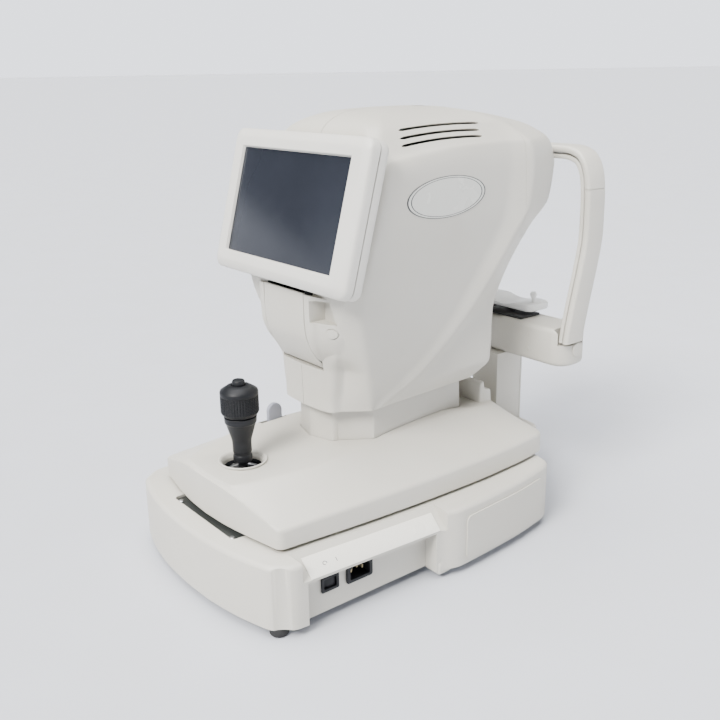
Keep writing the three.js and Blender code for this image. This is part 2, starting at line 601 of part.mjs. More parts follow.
// ---------------------------------------------------------------- screen
const makeScreen = () => {
  const { halfWidth, halfHeight, front, back, corner } = BEZEL
  const outline = roundedShape(halfWidth, halfHeight, corner)
  const bezel = cut(
    join(
      plateXZ(outline, front + 5, back),
      loft([front, front + 5 + 0.01].map((y, i) => {
        const inset = i === 0 ? 6 : 0
        return roundedShape(halfWidth - inset, halfHeight - inset, corner).getPoints(4).slice(0, -1)
          .map((p) => [p.x, y, p.y])
      })),
    ),
    plateXZ(roundedShape(SCREEN.halfWidth, SCREEN.halfHeight, 1), front - 5, back + 5),
    plateXZ(roundedShape(108, 67, 4), 1, back + 5),
  )
  place(screenGroup, 'monitor_bezel', bezel, paleGrey)
  place(screenGroup, 'touch_panel', plateXZ(roundedShape(100, 62, 2), 1 + GAP, 6), glass)

  const backShell = cut(
    join(
      plateXZ(roundedShape(halfWidth - 2, halfHeight - 2, corner), back + GAP, BACK_DEPTH),
      box(-40, 40, BACK_DEPTH - 1, HINGE_LINE.y - 3, HINGE_LINE.z - 6, HINGE_LINE.z + 6),
    ),
    plateXZ(roundedShape(108, 67, 8), back - 2, BACK_DEPTH - WALL),
  )
  const barrelZone = [[-40, -20], [20, 40]].map(([a, b]) => (
    bar(4, [a, HINGE_LINE.y, HINGE_LINE.z], [b, HINGE_LINE.y, HINGE_LINE.z], 16)
  ))
  const fixedHalf = 20 + GAP
  const fixedZone = bar(
    4 + 2 * GAP, [-fixedHalf, HINGE_LINE.y, HINGE_LINE.z], [fixedHalf, HINGE_LINE.y, HINGE_LINE.z], 16,
  )
  const pinBore = bar(1.5 + GAP, [-50, HINGE_LINE.y, HINGE_LINE.z], [50, HINGE_LINE.y, HINGE_LINE.z], 12)
  place(screenGroup, 'monitor_back', cut(join(backShell, ...barrelZone), fixedZone, pinBore), paleGrey)
  const knuckle = join(
    bar(4, [-20 + GAP, HINGE_LINE.y, HINGE_LINE.z], [20 - GAP, HINGE_LINE.y, HINGE_LINE.z], 16),
    box(-20 + GAP, 20 - GAP, HINGE_LINE.y, HINGE_LINE.y + 9, HINGE_LINE.z - 4, HINGE_LINE.z),
    bar(1.5, [-39, HINGE_LINE.y, HINGE_LINE.z], [39, HINGE_LINE.y, HINGE_LINE.z], 12),
  )
  place(screenGroup, 'monitor_hinge', knuckle, steel)
}

// ---------------------------------------------------------------- printer
// Side profile of the printer's curved door, outer face, from its hinge up: [y, z].
const DOOR_CURVE = [[-106, 216], [-112, 224], [-121, 238], [-127, 254], [-128.5, 272], [-128, 292]]

const makePrinter = () => {
  const half = PRINTER.halfWidth
  const inner = DOOR_CURVE.map(([y, z]) => [y + 2.6, z + (z < 240 ? 1.2 : 0)]).reverse()
  const door = join(prismX([...DOOR_CURVE, ...inner], -half, half),
    box(-8, 8, -109, -97.5, 216.5, 221.5))
  const pinBore = bar(1.8, [-40, PRINTER.pivotY, PRINTER.pivotZ], [40, PRINTER.pivotY, PRINTER.pivotZ], 12)
  place(autorefractor, 'printer_door', cut(door, pinBore), ivory)

  const cheekOutline = [
    [-60, 208], [-60, 298], [-124, 298], [-125, 272], [-123, 254], [-117, 238], [-106, 224], [-94, 214],
    [-90, 208],
  ]
  const [cheekIn, cheekOut] = [half - 3.4, half - 0.4]
  const cheeks = [prismX(cheekOutline, -cheekOut, -cheekIn), prismX(cheekOutline, cheekIn, cheekOut)]
  const bay = join(
    ...cheeks,
    box(-half + 0.4, half - 0.4, -63, -60, 208, 298),
    box(-half + 0.4, half - 0.4, -88, -60, 208, 211),
    bar(3, [-half + 1, ROLL.y, ROLL.z], [half - 1, ROLL.y, ROLL.z], 12),
  )
  place(autorefractor, 'printer_bay', bay, black)
  const paperRoll = cut(
    bar(ROLL.radius, [-ROLL.halfWidth, ROLL.y, ROLL.z], [ROLL.halfWidth, ROLL.y, ROLL.z], 28),
    bar(6, [-40, ROLL.y, ROLL.z], [40, ROLL.y, ROLL.z], 16),
  )
  place(autorefractor, 'paper_roll', paperRoll, paper)
  place(autorefractor, 'print_head', box(-28, 28, -114, -96, 279, 288), dark)
  place(autorefractor, 'platen_roller', bar(4, [-29, -120, 283], [29, -120, 283], 16), rubber)
  place(autorefractor, 'door_button', bar(5, [63, -117.5, 259], [63, -98, 259], 20), ivory)
}

// ---------------------------------------------------------------- chinrest and bow
const bowPath = (halfWidth, top) => {
  const foot = BOW.foot
  const shape = [[1, 0], [1, 0.4], [0.995, 0.78], [0.93, 0.93], [0.78, 0.985], [0.4, 1], [0, 1]]
  const points = shape.map(([u, v]) => {
    const z = foot + v * (top - foot)
    const lean = Math.min(Math.max((z - BOW.foot) / BOW.leanHeight, 0), 1)
    return new THREE.Vector3(u * halfWidth, BOW.footY + BOW.lean * lean, z)
  })
  const left = points.slice(0, -1).reverse().map((p) => new THREE.Vector3(-p.x, p.y, p.z))
  return [...points, ...left]
}

// Sweeps a rectangle, given across the bow and along Y, over the bow's path.
const sweepBow = (path, out0, out1, depth) => {
  const rings = path.map((point, i) => {
    const before = path[Math.max(i - 1, 0)]
    const after = path[Math.min(i + 1, path.length - 1)]
    const along = after.clone().sub(before).setY(0).normalize()
    const outward = new THREE.Vector3(along.z, 0, -along.x)
    const corner = (o, d) => [point.x + outward.x * o, point.y + d, point.z + outward.z * o]
    return [corner(out0, -depth), corner(out1, -depth + 4), corner(out1, depth - 4), corner(out0, depth)]
  })
  return loft(rings)
}

const makeChinrest = () => {
  const { halfWidth, front, rear, bottom, top } = ARM
  const columnInside = COLUMN.halfWidth - WALL
  const column = cut(
    box(-COLUMN.halfWidth, COLUMN.halfWidth, COLUMN.front, COLUMN.rear - 3, BASE_TOP + GAP, bottom - GAP),
    box(-columnInside, columnInside, COLUMN.front + WALL, COLUMN.rear + 5, BASE_TOP + 8, bottom - 8),
    bar(9 + GAP, [0, CHIN.y - 18, bottom - 20], [0, CHIN.y - 18, bottom + 20]),
  )
  place(autorefractor, 'chinrest_column', column, ivory)
  const rearCover = box(
    -COLUMN.halfWidth, COLUMN.halfWidth, COLUMN.rear - 3 + GAP, COLUMN.rear, BASE_TOP + GAP, bottom - GAP,
  )
  place(autorefractor, 'column_rear_cover', rearCover, ivory)

  const armBlock = (inset, y0, y1) => {
    const shape = roundedShape(halfWidth - inset, (rear - front) / 2 - inset, 18)
    const options = { depth: y1 - y0, bevelEnabled: false, curveSegments: 5 }
    const geometry = new THREE.ExtrudeGeometry(shape, options)
    geometry.translate(0, (front + rear) / 2, y0)
    return solid(geometry)
  }
  const rearZone = box(-130, 130, rear - 8, rear + 10, bottom - 5, top + 5)
  const bowFeet = [-BOW.halfWidth, BOW.halfWidth].map((x) => (
    box(x - 10, x + 10, BOW.footY - 16, BOW.footY + 19, BOW.foot - 4, top + 10)
  ))
  const shaftBore = bar(9 + GAP, [0, CHIN.y - 18, bottom - 5], [0, CHIN.y - 18, top + 5])
  const capBores = [-1, 1].map((side) => bar(9 + GAP, [side * 110, 204, 190], [side * 120, 204, 190], 20))
  const armHollow = armBlock(WALL, bottom + WALL, BOW.foot - 8)
  const arm = cut(armBlock(0, bottom, top), rearZone, armHollow, ...bowFeet, shaftBore, ...capBores)
  place(autorefractor, 'chinrest_arm', arm, ivory)
  const rearPart = box(-130, 130, rear - 8 + GAP, rear + 10, bottom - 5, top + 5)
  const armRear = keep(armBlock(0, bottom, top), rearPart)
  place(autorefractor, 'arm_rear_cover', cut(armRear, ...bowFeet), ivory)

  const outerPath = bowPath(BOW.halfWidth, BOW.top)
  place(autorefractor, 'bow_outer', sweepBow(outerPath, 1, 9, 15), ivory)
  place(autorefractor, 'bow_inner_trim', sweepBow(outerPath, -6, 1 - GAP, 10), ivory)
  place(autorefractor, 'forehead_rest', box(-42, 42, 210, 234, BOW.top - 22, BOW.top - 7), white)
  for (const [name, side] of [['arm_cap_right', 1], ['arm_cap_left', -1]]) {
    place(autorefractor, name, bar(9, [side * 111, 204, 190], [side * 114, 204, 190], 20), ivory)
  }

  place(autorefractor, 'bellows_plate', cut(
    box(-42, 42, 184, 218, top + GAP, top + 3),
    bar(9 + GAP, [0, CHIN.y - 18, top - 5], [0, CHIN.y - 18, top + 8]),
  ), rubber)
  const chinShaft = bar(9, [0, CHIN.y - 18, bottom - 30], [0, CHIN.y - 18, CHIN.z - GAP], 24)
  place(autorefractor, 'chin_shaft', chinShaft, dark)
  const dish = cut(
    box(-46, 46, CHIN.y - 18, CHIN.y + 22, CHIN.z, CHIN.z + 9),
    bar(60, [0, CHIN.y - 60, CHIN.z + 64], [0, CHIN.y + 60, CHIN.z + 64], 48),
  )
  const pins = [-1, 1].map((side) => {
    const top = CHIN.z + 22
    const profile = [[0, CHIN.z + 4], [2, CHIN.z + 4], [2, top - 8], [4, top - 5], [4, top - 1], [0, top]]
    return turned(profile, side * 36, CHIN.y, 14)
  })
  place(autorefractor, 'chin_rest', join(dish, ...pins), white)
}

makeBase()
makeCarriage()
makeStage()
makeLock()
makeJoystick()
makeHead()
makeScreen()
makePrinter()
makeChinrest()

// Centres the object's box on the origin, from the base's front edge to the bow's rear edge.
autorefractor.position.y = CENTRE_Y

export default autorefractor
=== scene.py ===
"""Looks for a desktop autorefractor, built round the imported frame.

Sizes are millimetres until a mesh is made.
"""

import json
import math

import bmesh
import bpy
from mathutils import Matrix, Vector
from mathutils.bvhtree import BVHTree


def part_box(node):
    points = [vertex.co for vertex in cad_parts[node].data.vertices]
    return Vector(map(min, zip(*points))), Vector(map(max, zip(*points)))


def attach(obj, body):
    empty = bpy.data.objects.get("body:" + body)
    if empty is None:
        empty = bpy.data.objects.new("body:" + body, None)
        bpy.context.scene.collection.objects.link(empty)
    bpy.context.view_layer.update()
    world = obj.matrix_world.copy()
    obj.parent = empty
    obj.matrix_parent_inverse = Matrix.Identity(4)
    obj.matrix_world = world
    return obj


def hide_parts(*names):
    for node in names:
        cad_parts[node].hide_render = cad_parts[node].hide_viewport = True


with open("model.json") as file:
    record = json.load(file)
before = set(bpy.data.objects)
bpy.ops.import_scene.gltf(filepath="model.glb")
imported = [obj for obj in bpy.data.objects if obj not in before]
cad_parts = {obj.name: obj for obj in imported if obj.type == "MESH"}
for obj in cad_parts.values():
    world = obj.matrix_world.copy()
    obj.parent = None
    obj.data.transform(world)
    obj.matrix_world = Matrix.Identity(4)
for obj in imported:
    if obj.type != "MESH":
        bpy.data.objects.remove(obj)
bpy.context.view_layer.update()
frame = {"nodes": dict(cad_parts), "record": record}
NODES = frame["nodes"]

# ------------------------------------------------------------------ driving dimensions
CENTRE_Y = 11.5  # shift from the drawing's frame to the row frame
WALL = 3.0
SEAM = 0.3  # half the width of a parting line
DECK = 76.0  # top of the base
RECESS_X = 132.0
RECESS = (-207.0, -52.0)  # first and last y
RECESS_TOP = 54.0
SOCKET = (-141.0, 41.0)  # y and z of the appliance inlet's middle
SWITCH = (-176.5, 40.0)  # y and z of the rocker's middle
STICK_Y = -186.0
SCREEN_Y = -122.0
SCREEN_Z = 377.4
SCREEN_TILT = 15.2
BEZEL = (115.0, 74.5)  # half width and half height
GLASS = (92.5, 55.5)
BACK_DEPTH = 24.0
OPTIC_Z = 388.0
BOW_HALF = 106.0
BOW_FOOT = 200.0
BOW_TOP = 411.0
BOW_Y = 196.0
BOW_LEAN = 26.0
BOW_LEAN_HEIGHT = 120.0
ARM = (112.0, 178.0, 228.0, 170.0, 215.0)  # half width, front, rear, bottom, top
CHIN_Y, CHIN_Z = 212.0, 222.0
UP = Vector((0, 0, 1))

SCREEN_LEAN = Matrix.Rotation(math.radians(-SCREEN_TILT), 4, "X")
SCREEN_FRAME = Matrix.Translation((0, SCREEN_Y, SCREEN_Z)) @ SCREEN_LEAN
QUARTER_X = Matrix.Rotation(math.radians(90), 4, "X")
QUARTER_Z = Matrix.Rotation(math.radians(90), 4, "Z")
TO_ROW = Matrix.Scale(0.001, 4) @ Matrix.Translation((0, CENTRE_Y, 0))


# ------------------------------------------------------------------ lines and rings
def lerp(a, b, t):
    return tuple(p + (q - p) * t for p, q in zip(a, b))


def rounded(points, cuts, turns=5, spans=3):
    """An open line through the points, each corner rounded by its cut distance. Same count for every call."""
    line = [Vector(points[0])]
    for i in range(1, len(points) - 1):
        before, here, after = (Vector(points[k]) for k in (i - 1, i, i + 1))
        reach_in = min(cuts[i], (here - before).length * 0.45)
        reach_out = min(cuts[i], (after - here).length * 0.45)
        start = here + (before - here).normalized() * reach_in
        end = here + (after - here).normalized() * reach_out
        previous = line[-1]
        line += [previous.lerp(start, k / spans) for k in range(1, spans)]
        for k in range(turns):
            t = k / (turns - 1)
            line.append(start * (1 - t) ** 2 + here * (2 * t * (1 - t)) + end * t ** 2)
    previous, last = line[-1], Vector(points[-1])
    line += [previous.lerp(last, k / spans) for k in range(1, spans + 1)]
    return line


def mirrored(half):
    """The full ring of a symmetrical outline, from its right half."""
    return list(half) + [Vector((-p[0], p[1], p[2])) for p in reversed(half[1:-1])]


def smooth_rows(rows, per=6):
    """Rows of numbers interpolated without overshoot, per steps between neighbours."""
    count = len(rows)
    columns = []
    for column in zip(*rows):
        steps = [column[i + 1] - column[i] for i in range(count - 1)]
        slopes = [steps[0]]
        for a, b in zip(steps, steps[1:]):
            slopes.append(0.0 if a * b <= 0 else 2 * a * b / (a + b))
        slopes.append(steps[-1])
        values = []
        for i in range(count - 1):
            for k in range(per):
                t = k / per
                values.append(
                    (2 * t ** 3 - 3 * t ** 2 + 1) * column[i] + (t ** 3 - 2 * t ** 2 + t) * slopes[i]
                    + (3 * t ** 2 - 2 * t ** 3) * column[i + 1] + (t ** 3 - t ** 2) * slopes[i + 1]
                )
        values.append(column[-1])
        columns.append(values)
    return list(zip(*columns))


def rounded_rectangle(half_width, half_height, corner, turns=7):
    """Outline in X and Z, counter-clockwise, with the same count for every call."""
    line = []
    for quarter, (sx, sz) in enumerate([(1, 1), (-1, 1), (-1, -1), (1, -1)]):
        for k in range(turns):
            angle = math.radians(90 * (quarter + k / (turns - 1)))
            line.append((
                sx * (half_width - corner) + corner * math.cos(angle),
                sz * (half_height - corner) + corner * math.sin(angle),
            ))
    return line


# ------------------------------------------------------------------ meshes
def mesh_from(name, points, faces, place=None):
    mesh = bpy.data.meshes.new(name)
    move = TO_ROW @ place if place else TO_ROW
    mesh.from_pydata([move @ Vector(p) for p in points], [], faces)
    tidy = bmesh.new()
    tidy.from_mesh(mesh)
    bmesh.ops.remove_doubles(tidy, verts=tidy.verts, dist=1e-6)
    bmesh.ops.recalc_face_normals(tidy, faces=tidy.faces)
    tidy.to_mesh(mesh)
    tidy.free()
    made = bpy.data.objects.new(name, mesh)
    bpy.context.scene.collection.objects.link(made)
    return made


def skin_faces(rows, count, closed=False):
    """Quads between rings of count points; closed joins the last ring to the first."""
    faces = []
    for i in range(rows if closed else rows - 1):
        for j in range(count):
            a, b = i * count + j, i * count + (j + 1) % count
            c, d = ((i + 1) % rows) * count + (j + 1) % count, ((i + 1) % rows) * count + j
            faces.append((a, b, c, d))
    return faces


def strip_cap(offset, count):
    """A cap of strips from the right half of a mirrored ring to its left half."""
    half = count // 2
    faces = [(offset, offset + 1, offset + count - 1)]
    for j in range(1, half - 1):
        faces.append((offset + j, offset + j + 1, offset + count - j - 1, offset + count - j))
    faces.append((offset + half - 1, offset + half, offset + half + 1))
    return faces


def loft(name, rings, place=None, caps="strip"):
    count = len(rings[0])
    points = [p for ring in rings for p in ring]
    faces = skin_faces(len(rings), count)
    top = (len(rings) - 1) * count
    if caps == "strip":
        faces += strip_cap(0, count) + strip_cap(top, count)
    else:
        faces += [tuple(range(count)), tuple(range(top, top + count))]
    return mesh_from(name, points, faces, place)


def slab(name, outline, layers, place=None, axis="Y"):
    """A plate from nested outlines: each layer is (depth, inset), and the outline takes an inset."""
    rings = []
    for depth, inset in layers:
        ring = outline(inset)
        rings.append([(x, depth, z) if axis == "Y" else (x, z, depth) for x, z in ring])
    return loft(name, rings, place, caps="ngon")


def rounded_layers(low, high, edge, steps=4, low_edge=None):
    """(depth, inset) pairs for a plate from low to high whose edges are rounded."""
    low_edge = edge if low_edge is None else low_edge
    angles = [math.pi / 2 * k / steps for k in range(steps + 1)]
    foot = [(low + low_edge * (1 - math.cos(a)), low_edge * (1 - math.sin(a))) for a in angles]
    crown = [(high - edge * (1 - math.sin(a)), edge * (1 - math.cos(a))) for a in angles]
    return foot + crown


def turned(name, profile, centre, sides=72, place=None, cuts=None):
    """A turned piece: profile is (radius, height) pairs, its ends on the axis or closed on themselves."""
    line = [(p[0], p[1]) for p in rounded([(r, z, 0) for r, z in profile], cuts, 4, 1)] if cuts else profile
    points = []
    for r, z in line:
        for k in range(sides):
            angle = 2 * math.pi * k / sides
            points.append((centre[0] + r * math.cos(angle), centre[1] + r * math.sin(angle), z))
    return mesh_from(name, points, skin_faces(len(line), sides, closed=line[0][0] > 0.01), place)


def cylinder(name, radius, start, end, sides=48, place=None):
    start, end = Vector(start), Vector(end)
    turn = UP.rotation_difference(end - start).to_matrix()
    rings = [[spot + turn @ Vector((radius * math.cos(2 * math.pi * k / sides),
                                    radius * math.sin(2 * math.pi * k / sides), 0)) for k in range(sides)]
             for spot in (start, end)]
    return loft(name, rings, place, caps="ngon")


def block(name, x0, x1, y0, y1, z0, z1, place=None):
    rings = [[(x0, y0, z), (x1, y0, z), (x1, y1, z), (x0, y1, z)] for z in (z0, z1)]
    return loft(name, rings, place, caps="ngon")


def prism(name, outline, low, high, axis="X", place=None):
    """An extrusion of an outline: (y, z) pairs along X, or (x, z) pairs along Y, or (x, y) pairs along Z."""
    order = {
        "X": lambda a, b, c: (c, a, b),
        "Y": lambda a, b, c: (a, c, b),
        "Z": lambda a, b, c: (a, b, c),
    }[axis]
    rings = [[order(a, b, depth) for a, b in outline] for depth in (low, high)]
    return loft(name, rings, place, caps="ngon")


def bake(made):
    """Applies the modifiers."""
    graph = bpy.context.evaluated_depsgraph_get()
    graph.update()
    mesh = bpy.data.meshes.new_from_object(made.evaluated_get(graph))
    made.modifiers.clear()
    old, made.data = made.data, mesh
    bpy.data.meshes.remove(old)
    return made


def bevelled(made, width, segments=3, angle=25):
    modifier = made.modifiers.new("edge", "BEVEL")
    modifier.width = width * 0.001
    modifier.segments = segments
    modifier.limit_method = "ANGLE"
    modifier.angle_limit = math.radians(angle)
    return bake(made)


def combine(made, tools, how):
    for tool in tools:
        modifier = made.modifiers.new("boolean", "BOOLEAN")
        modifier.operation = how
        modifier.solver = "MANIFOLD"
        modifier.object = tool
    bake(made)
    for tool in tools:
        bpy.data.objects.remove(tool)
    return made


def cut(made, *tools):
    return combine(made, tools, "DIFFERENCE")


def join(made, *tools):
    return combine(made, tools, "UNION")


def keep(made, *tools):
    return combine(made, tools, "INTERSECT")


def copy_of(made, name):
    twin = made.copy()
    twin.data = made.data.copy()
    twin.name = name
    bpy.context.scene.collection.objects.link(twin)
    return twin


def shade(made, angle=32):
    made.data.shade_smooth()
    made.data.set_sharp_from_angle(angle=math.radians(angle))


def piece(made, body, slot, material, *nodes, angle=32):
    """Finishes a piece: shading, material, its body and the CAD nodes it stands for. The slot argument is not
    used.
    """
    shade(made, angle)
    made.data.materials.clear()
    made.data.materials.append(material)
    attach(made, body)
    if nodes:
        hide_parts(*nodes)
    return made


# ------------------------------------------------------------------ materials
def shader(name):
    """A new material, its nodes and links, its shader and the object's own coordinates."""
    material = bpy.data.materials.new(name)
    material.use_nodes = True
    nodes, links = material.node_tree.nodes, material.node_tree.links
    place = nodes.new("ShaderNodeTexCoord").outputs["Object"]
    return material, nodes, links, nodes["Principled BSDF"], place


def settings(node, values):
    for name, value in values.items():
        node.inputs[name].default_value = value


def noise(nodes, links, place, scale, detail=3.0):
    texture = nodes.new("ShaderNodeTexNoise")
    settings(texture, {"Scale": scale, "Detail": detail})
    links.new(place, texture.inputs["Vector"])
    return texture.outputs["Fac"]


def ramp(nodes, links, value, low, high, first, last):
    stops = nodes.new("ShaderNodeValToRGB")
    stops.color_ramp.elements[0].position = low
    stops.color_ramp.elements[1].position = high
    stops.color_ramp.elements[0].color = (*first, 1)
    stops.color_ramp.elements[1].color = (*last, 1)
    links.new(value, stops.inputs["Fac"])
    return stops.outputs["Color"]


def span(nodes, links, value, low, high):
    scaled = nodes.new("ShaderNodeMapRange")
    settings(scaled, {"From Min": 0.3, "From Max": 0.7, "To Min": low, "To Max": high})
    links.new(value, scaled.inputs["Value"])
    return scaled.outputs["Result"]


def bump(nodes, links, target, height, strength, distance):
    made = nodes.new("ShaderNodeBump")
    settings(made, {"Strength": strength, "Distance": distance})
    links.new(height, made.inputs["Height"])
    links.new(made.outputs["Normal"], target.inputs["Normal"])


YELLOWER = (1, 0.995, 0.985)  # how the darker tone of a moulding shifts


def moulded(name, colour, roughness, grain=0.12, tint=0.03, texture=2600.0, coat=0.0, shine=0.5):
    """Moulded plastic: a fine texture, slow tone changes and patches that are handled smoother."""
    material, nodes, links, body, place = shader(name)
    slow = noise(nodes, links, place, 9.0, 2.0)
    darker = tuple(c * (1 - tint) * YELLOWER[i] for i, c in enumerate(colour))
    lighter = tuple(min(1.0, c * (1 + tint * 0.6)) for c in colour)
    links.new(ramp(nodes, links, slow, 0.35, 0.65, darker, lighter), body.inputs["Base Color"])
    handled = noise(nodes, links, place, 38.0, 4.0)
    worn = span(nodes, links, handled, roughness * 0.88, min(1.0, roughness * 1.12))
    links.new(worn, body.inputs["Roughness"])
    bump(nodes, links, body, noise(nodes, links, place, texture, 2.0), grain, 0.00008)
    settings(body, {"IOR": 1.49, "Coat Weight": coat, "Specular IOR Level": shine})
    return material


def brushed(name, colour, roughness, stretch=(1.0, 1.0, 60.0)):
    material, nodes, links, body, place = shader(name)
    mapping = nodes.new("ShaderNodeMapping")
    settings(mapping, {"Scale": stretch})
    links.new(place, mapping.inputs["Vector"])
    lines = noise(nodes, links, mapping.outputs["Vector"], 90.0, 5.0)
    darker = tuple(c * 0.86 for c in colour)
    links.new(ramp(nodes, links, lines, 0.3, 0.7, darker, colour), body.inputs["Base Color"])
    links.new(span(nodes, links, lines, roughness * 0.8, roughness * 1.25), body.inputs["Roughness"])
    bump(nodes, links, body, lines, 0.15, 0.00005)
    settings(body, {"Metallic": 1.0})
    return material


def screen_glass(name):
    """Dark cover glass of a screen that is off, with faint finger smears."""
    material, nodes, links, body, place = shader(name)
    slow = noise(nodes, links, place, 7.0, 1.0)
    tone = ramp(nodes, links, slow, 0.3, 0.7, (0.014, 0.016, 0.022), (0.022, 0.025, 0.033))
    links.new(tone, body.inputs["Base Color"])
    smears = noise(nodes, links, place, 60.0, 5.0)
    links.new(span(nodes, links, smears, 0.13, 0.24), body.inputs["Roughness"])
    bump(nodes, links, body, noise(nodes, links, place, 900.0, 2.0), 0.03, 0.00002)
    settings(body, {"Specular IOR Level": 0.3})
    return material


def lens_glass(name):
    """A dark coated lens."""
    material, nodes, links, body, place = shader(name)
    coating = noise(nodes, links, place, 25.0, 1.0)
    tint = ramp(nodes, links, coating, 0.3, 0.7, (0.03, 0.04, 0.07), (0.07, 0.05, 0.10))
    links.new(tint, body.inputs["Base Color"])
    settings(body, {"Roughness": 0.04, "Coat Weight": 1.0})
    return material


def board(name):
    material, nodes, links, body, place = shader(name)
    tracks = nodes.new("ShaderNodeTexBrick")
    settings(tracks, {
        "Scale": 120.0, "Mortar Size": 0.03, "Mortar": (0.06, 0.30, 0.13, 1),
        "Color1": (0.02, 0.15, 0.06, 1), "Color2": (0.025, 0.18, 0.075, 1),
    })
    links.new(place, tracks.inputs["Vector"])
    links.new(tracks.outputs["Color"], body.inputs["Base Color"])
    bump(nodes, links, body, tracks.outputs["Fac"], 0.2, 0.00005)
    settings(body, {"Roughness": 0.4})
    return material


IVORY = moulded("ivory_moulding", (0.53, 0.51, 0.455), 0.44)
PALE = moulded("pale_moulding", (0.61, 0.595, 0.55), 0.40, 0.08)
BLACK = moulded("black_moulding", (0.008, 0.0085, 0.010), 0.42, 0.3, 0.12, shine=0.25)
GRIP = moulded("black_grip", (0.007, 0.0075, 0.009), 0.48, 0.25, 0.12, shine=0.22)
DARK = moulded("dark_moulding", (0.035, 0.038, 0.036), 0.32, 0.2, 0.15)
RUBBER = moulded("rubber", (0.018, 0.018, 0.018), 0.75, 0.4, 0.15, 900.0)
GREY = moulded("grey_moulding", (0.27, 0.28, 0.33), 0.34, 0.1)
CREAM = moulded("cream_film", (0.80, 0.775, 0.70), 0.30, 0.05, 0.02, 1500.0, 0.2)
WHITE = moulded("white_moulding", (0.79, 0.79, 0.77), 0.30, 0.06, 0.02, 2000.0)
BADGE = moulded("badge_plate", (0.60, 0.60, 0.55), 0.26, 0.03, 0.02, 1500.0, 0.4)
PRINT = moulded("print_ink", (0.03, 0.03, 0.033), 0.4, 0.05, 0.1)
PAPER = moulded("thermal_paper", (0.86, 0.86, 0.84), 0.8, 0.3, 0.02, 700.0)
STEEL = brushed("brushed_steel", (0.55, 0.56, 0.58), 0.34)
ALUMINIUM = brushed("machined_aluminium", (0.66, 0.67, 0.69), 0.42, (60.0, 1.0, 1.0))
BRASS = brushed("turned_brass", (0.40, 0.33, 0.20), 0.38)
SCREEN = screen_glass("screen_glass")
LENS = lens_glass("lens_glass")
BOARD = board("circuit_board")

BY_SLOT = {
    "ivory_plastic": IVORY, "pale_plastic": PALE, "black_plastic": BLACK, "black_grip": GRIP,
    "dark_plastic": DARK, "rubber": RUBBER, "grey_plastic": GREY, "cream_strip": CREAM,
    "white_plastic": WHITE, "screen": SCREEN, "lens_glass": LENS, "steel": STEEL,
    "aluminium": ALUMINIUM, "brass": BRASS, "circuit_board": BOARD, "paper": PAPER,
}
EDGE_WIDTH = 0.0006  # metres, the widest edge on a CAD node
EDGE_SHARE = 0.12  # of the node's thinnest side


def dress_cad_nodes():
    """Every CAD node that stays gets its slot's material, merged flat faces and small rounded edges."""
    slots = {row["node"]: row["material_slot"] for row in frame["record"]["subparts"]}
    for name, node in NODES.items():
        node.data.materials.clear()
        node.data.materials.append(BY_SLOT[slots[name]])
        if node.hide_render:
            continue
        low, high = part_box(name)
        thin = min(high - low)
        weld = node.modifiers.new("weld", "WELD")
        weld.merge_threshold = 1e-6
        flat = node.modifiers.new("flat", "DECIMATE")
        flat.decimate_type = "DISSOLVE"
        flat.angle_limit = math.radians(1)
        edge = node.modifiers.new("edge", "BEVEL")
        edge.width = min(EDGE_WIDTH, thin * EDGE_SHARE)
        edge.segments = 2
        edge.limit_method = "ANGLE"
        edge.angle_limit = math.radians(35)
        node.data.shade_smooth()
        node.data.set_sharp_from_angle(angle=math.radians(32))


# ------------------------------------------------------------------ head
# z, front y, brow x, lip x, lip y, corner x, y, ridge x, y, foot of the band x, y, nose x, y, rear y
HEAD_ROWS = [
    (167, -108, 41, 45, -92, 65, -66, 64, -64, 62, -44, 50, 96, 102),
    (178, -108, 41, 45.5, -91.5, 68, -69, 66.5, -54, 63.5, -22, 60, 102, 107),
    (190, -108.5, 43, 46.5, -90, 71, -73, 70, -34, 65.5, 2, 68, 106, 111),
    (211, -109, 45, 49, -89, 77.5, -80.5, 75.5, -7, 69.5, 27, 69, 107, 112),
    (217, -109.5, 47, 51, -92, 79, -83, 77, -1, 71, 34, 69, 107, 112),
    (230, -111, 54, 59, -101, 82.5, -87, 80.5, 11, 73.5, 47, 69, 107, 112),
    (250, -113, 60, 66, -107, 88, -94, 85, 28, 77, 67, 69, 108, 113),
    (290, -118, 80, 85, -112, 98, -104, 91, 55, 80, 106, 69, 126, 131),
    (335, -108, 96, 99, -103, 104, -97, 95, 84, 82, 145, 69, 158, 163),
    (365, -100, 98, 101, -95, 106, -89, 97, 98, 82.5, 172, 71, 191, 196),
    (400, -90, 98, 101, -85, 105, -79, 96.5, 103, 83, 177, 72, 196, 200),
    (416, -86, 96.5, 99.5, -81, 103.5, -75, 95, 103, 81.5, 175, 70.5, 194, 199),
    (427, -83.5, 92, 95, -78, 99.5, -72, 91.5, 102, 78, 170, 67, 189, 194.5),
    (432, -82, 86, 89, -76, 93, -70, 86, 100, 74, 165, 63, 183, 190),
    (442, -79, 76, 79, -73, 83, -67, 76, 97, 66, 150, 55, 168, 176),
    (452, -73, 63, 67, -66, 72, -59, 66, 88, 56, 124, 46, 138, 149),
    (460, -60, 46, 50, -52, 56, -44, 51, 76, 43, 96, 35, 104, 116),
    (465.5, -40, 27, 31, -30, 36, -22, 32, 60, 28, 70, 22, 74, 86),
    (468, -12, 8, 9.5, -6, 11, 2, 10, 34, 9, 38, 7, 43, 50),
]
HEAD_CUTS = [0, 16, 2.5, 6, 7, 5, 14, 8, 14, 0]
BAND_RELIEF = 5.0
BAND_FOOT, BAND_FOOT_FADE = 158, 30  # the band's relief fades in over this height
BAND_TOP, BAND_TOP_FADE = 448, 25
ROOF_Z, ROOF_REACH = 432, 34  # where the roof's line arches along Y
ROOF_RISE, ROOF_FALL, ROOF_POWER = 4, 11, 1.6
ROOF_BEND_Y, ROOF_BEND_LENGTH = 45, 120
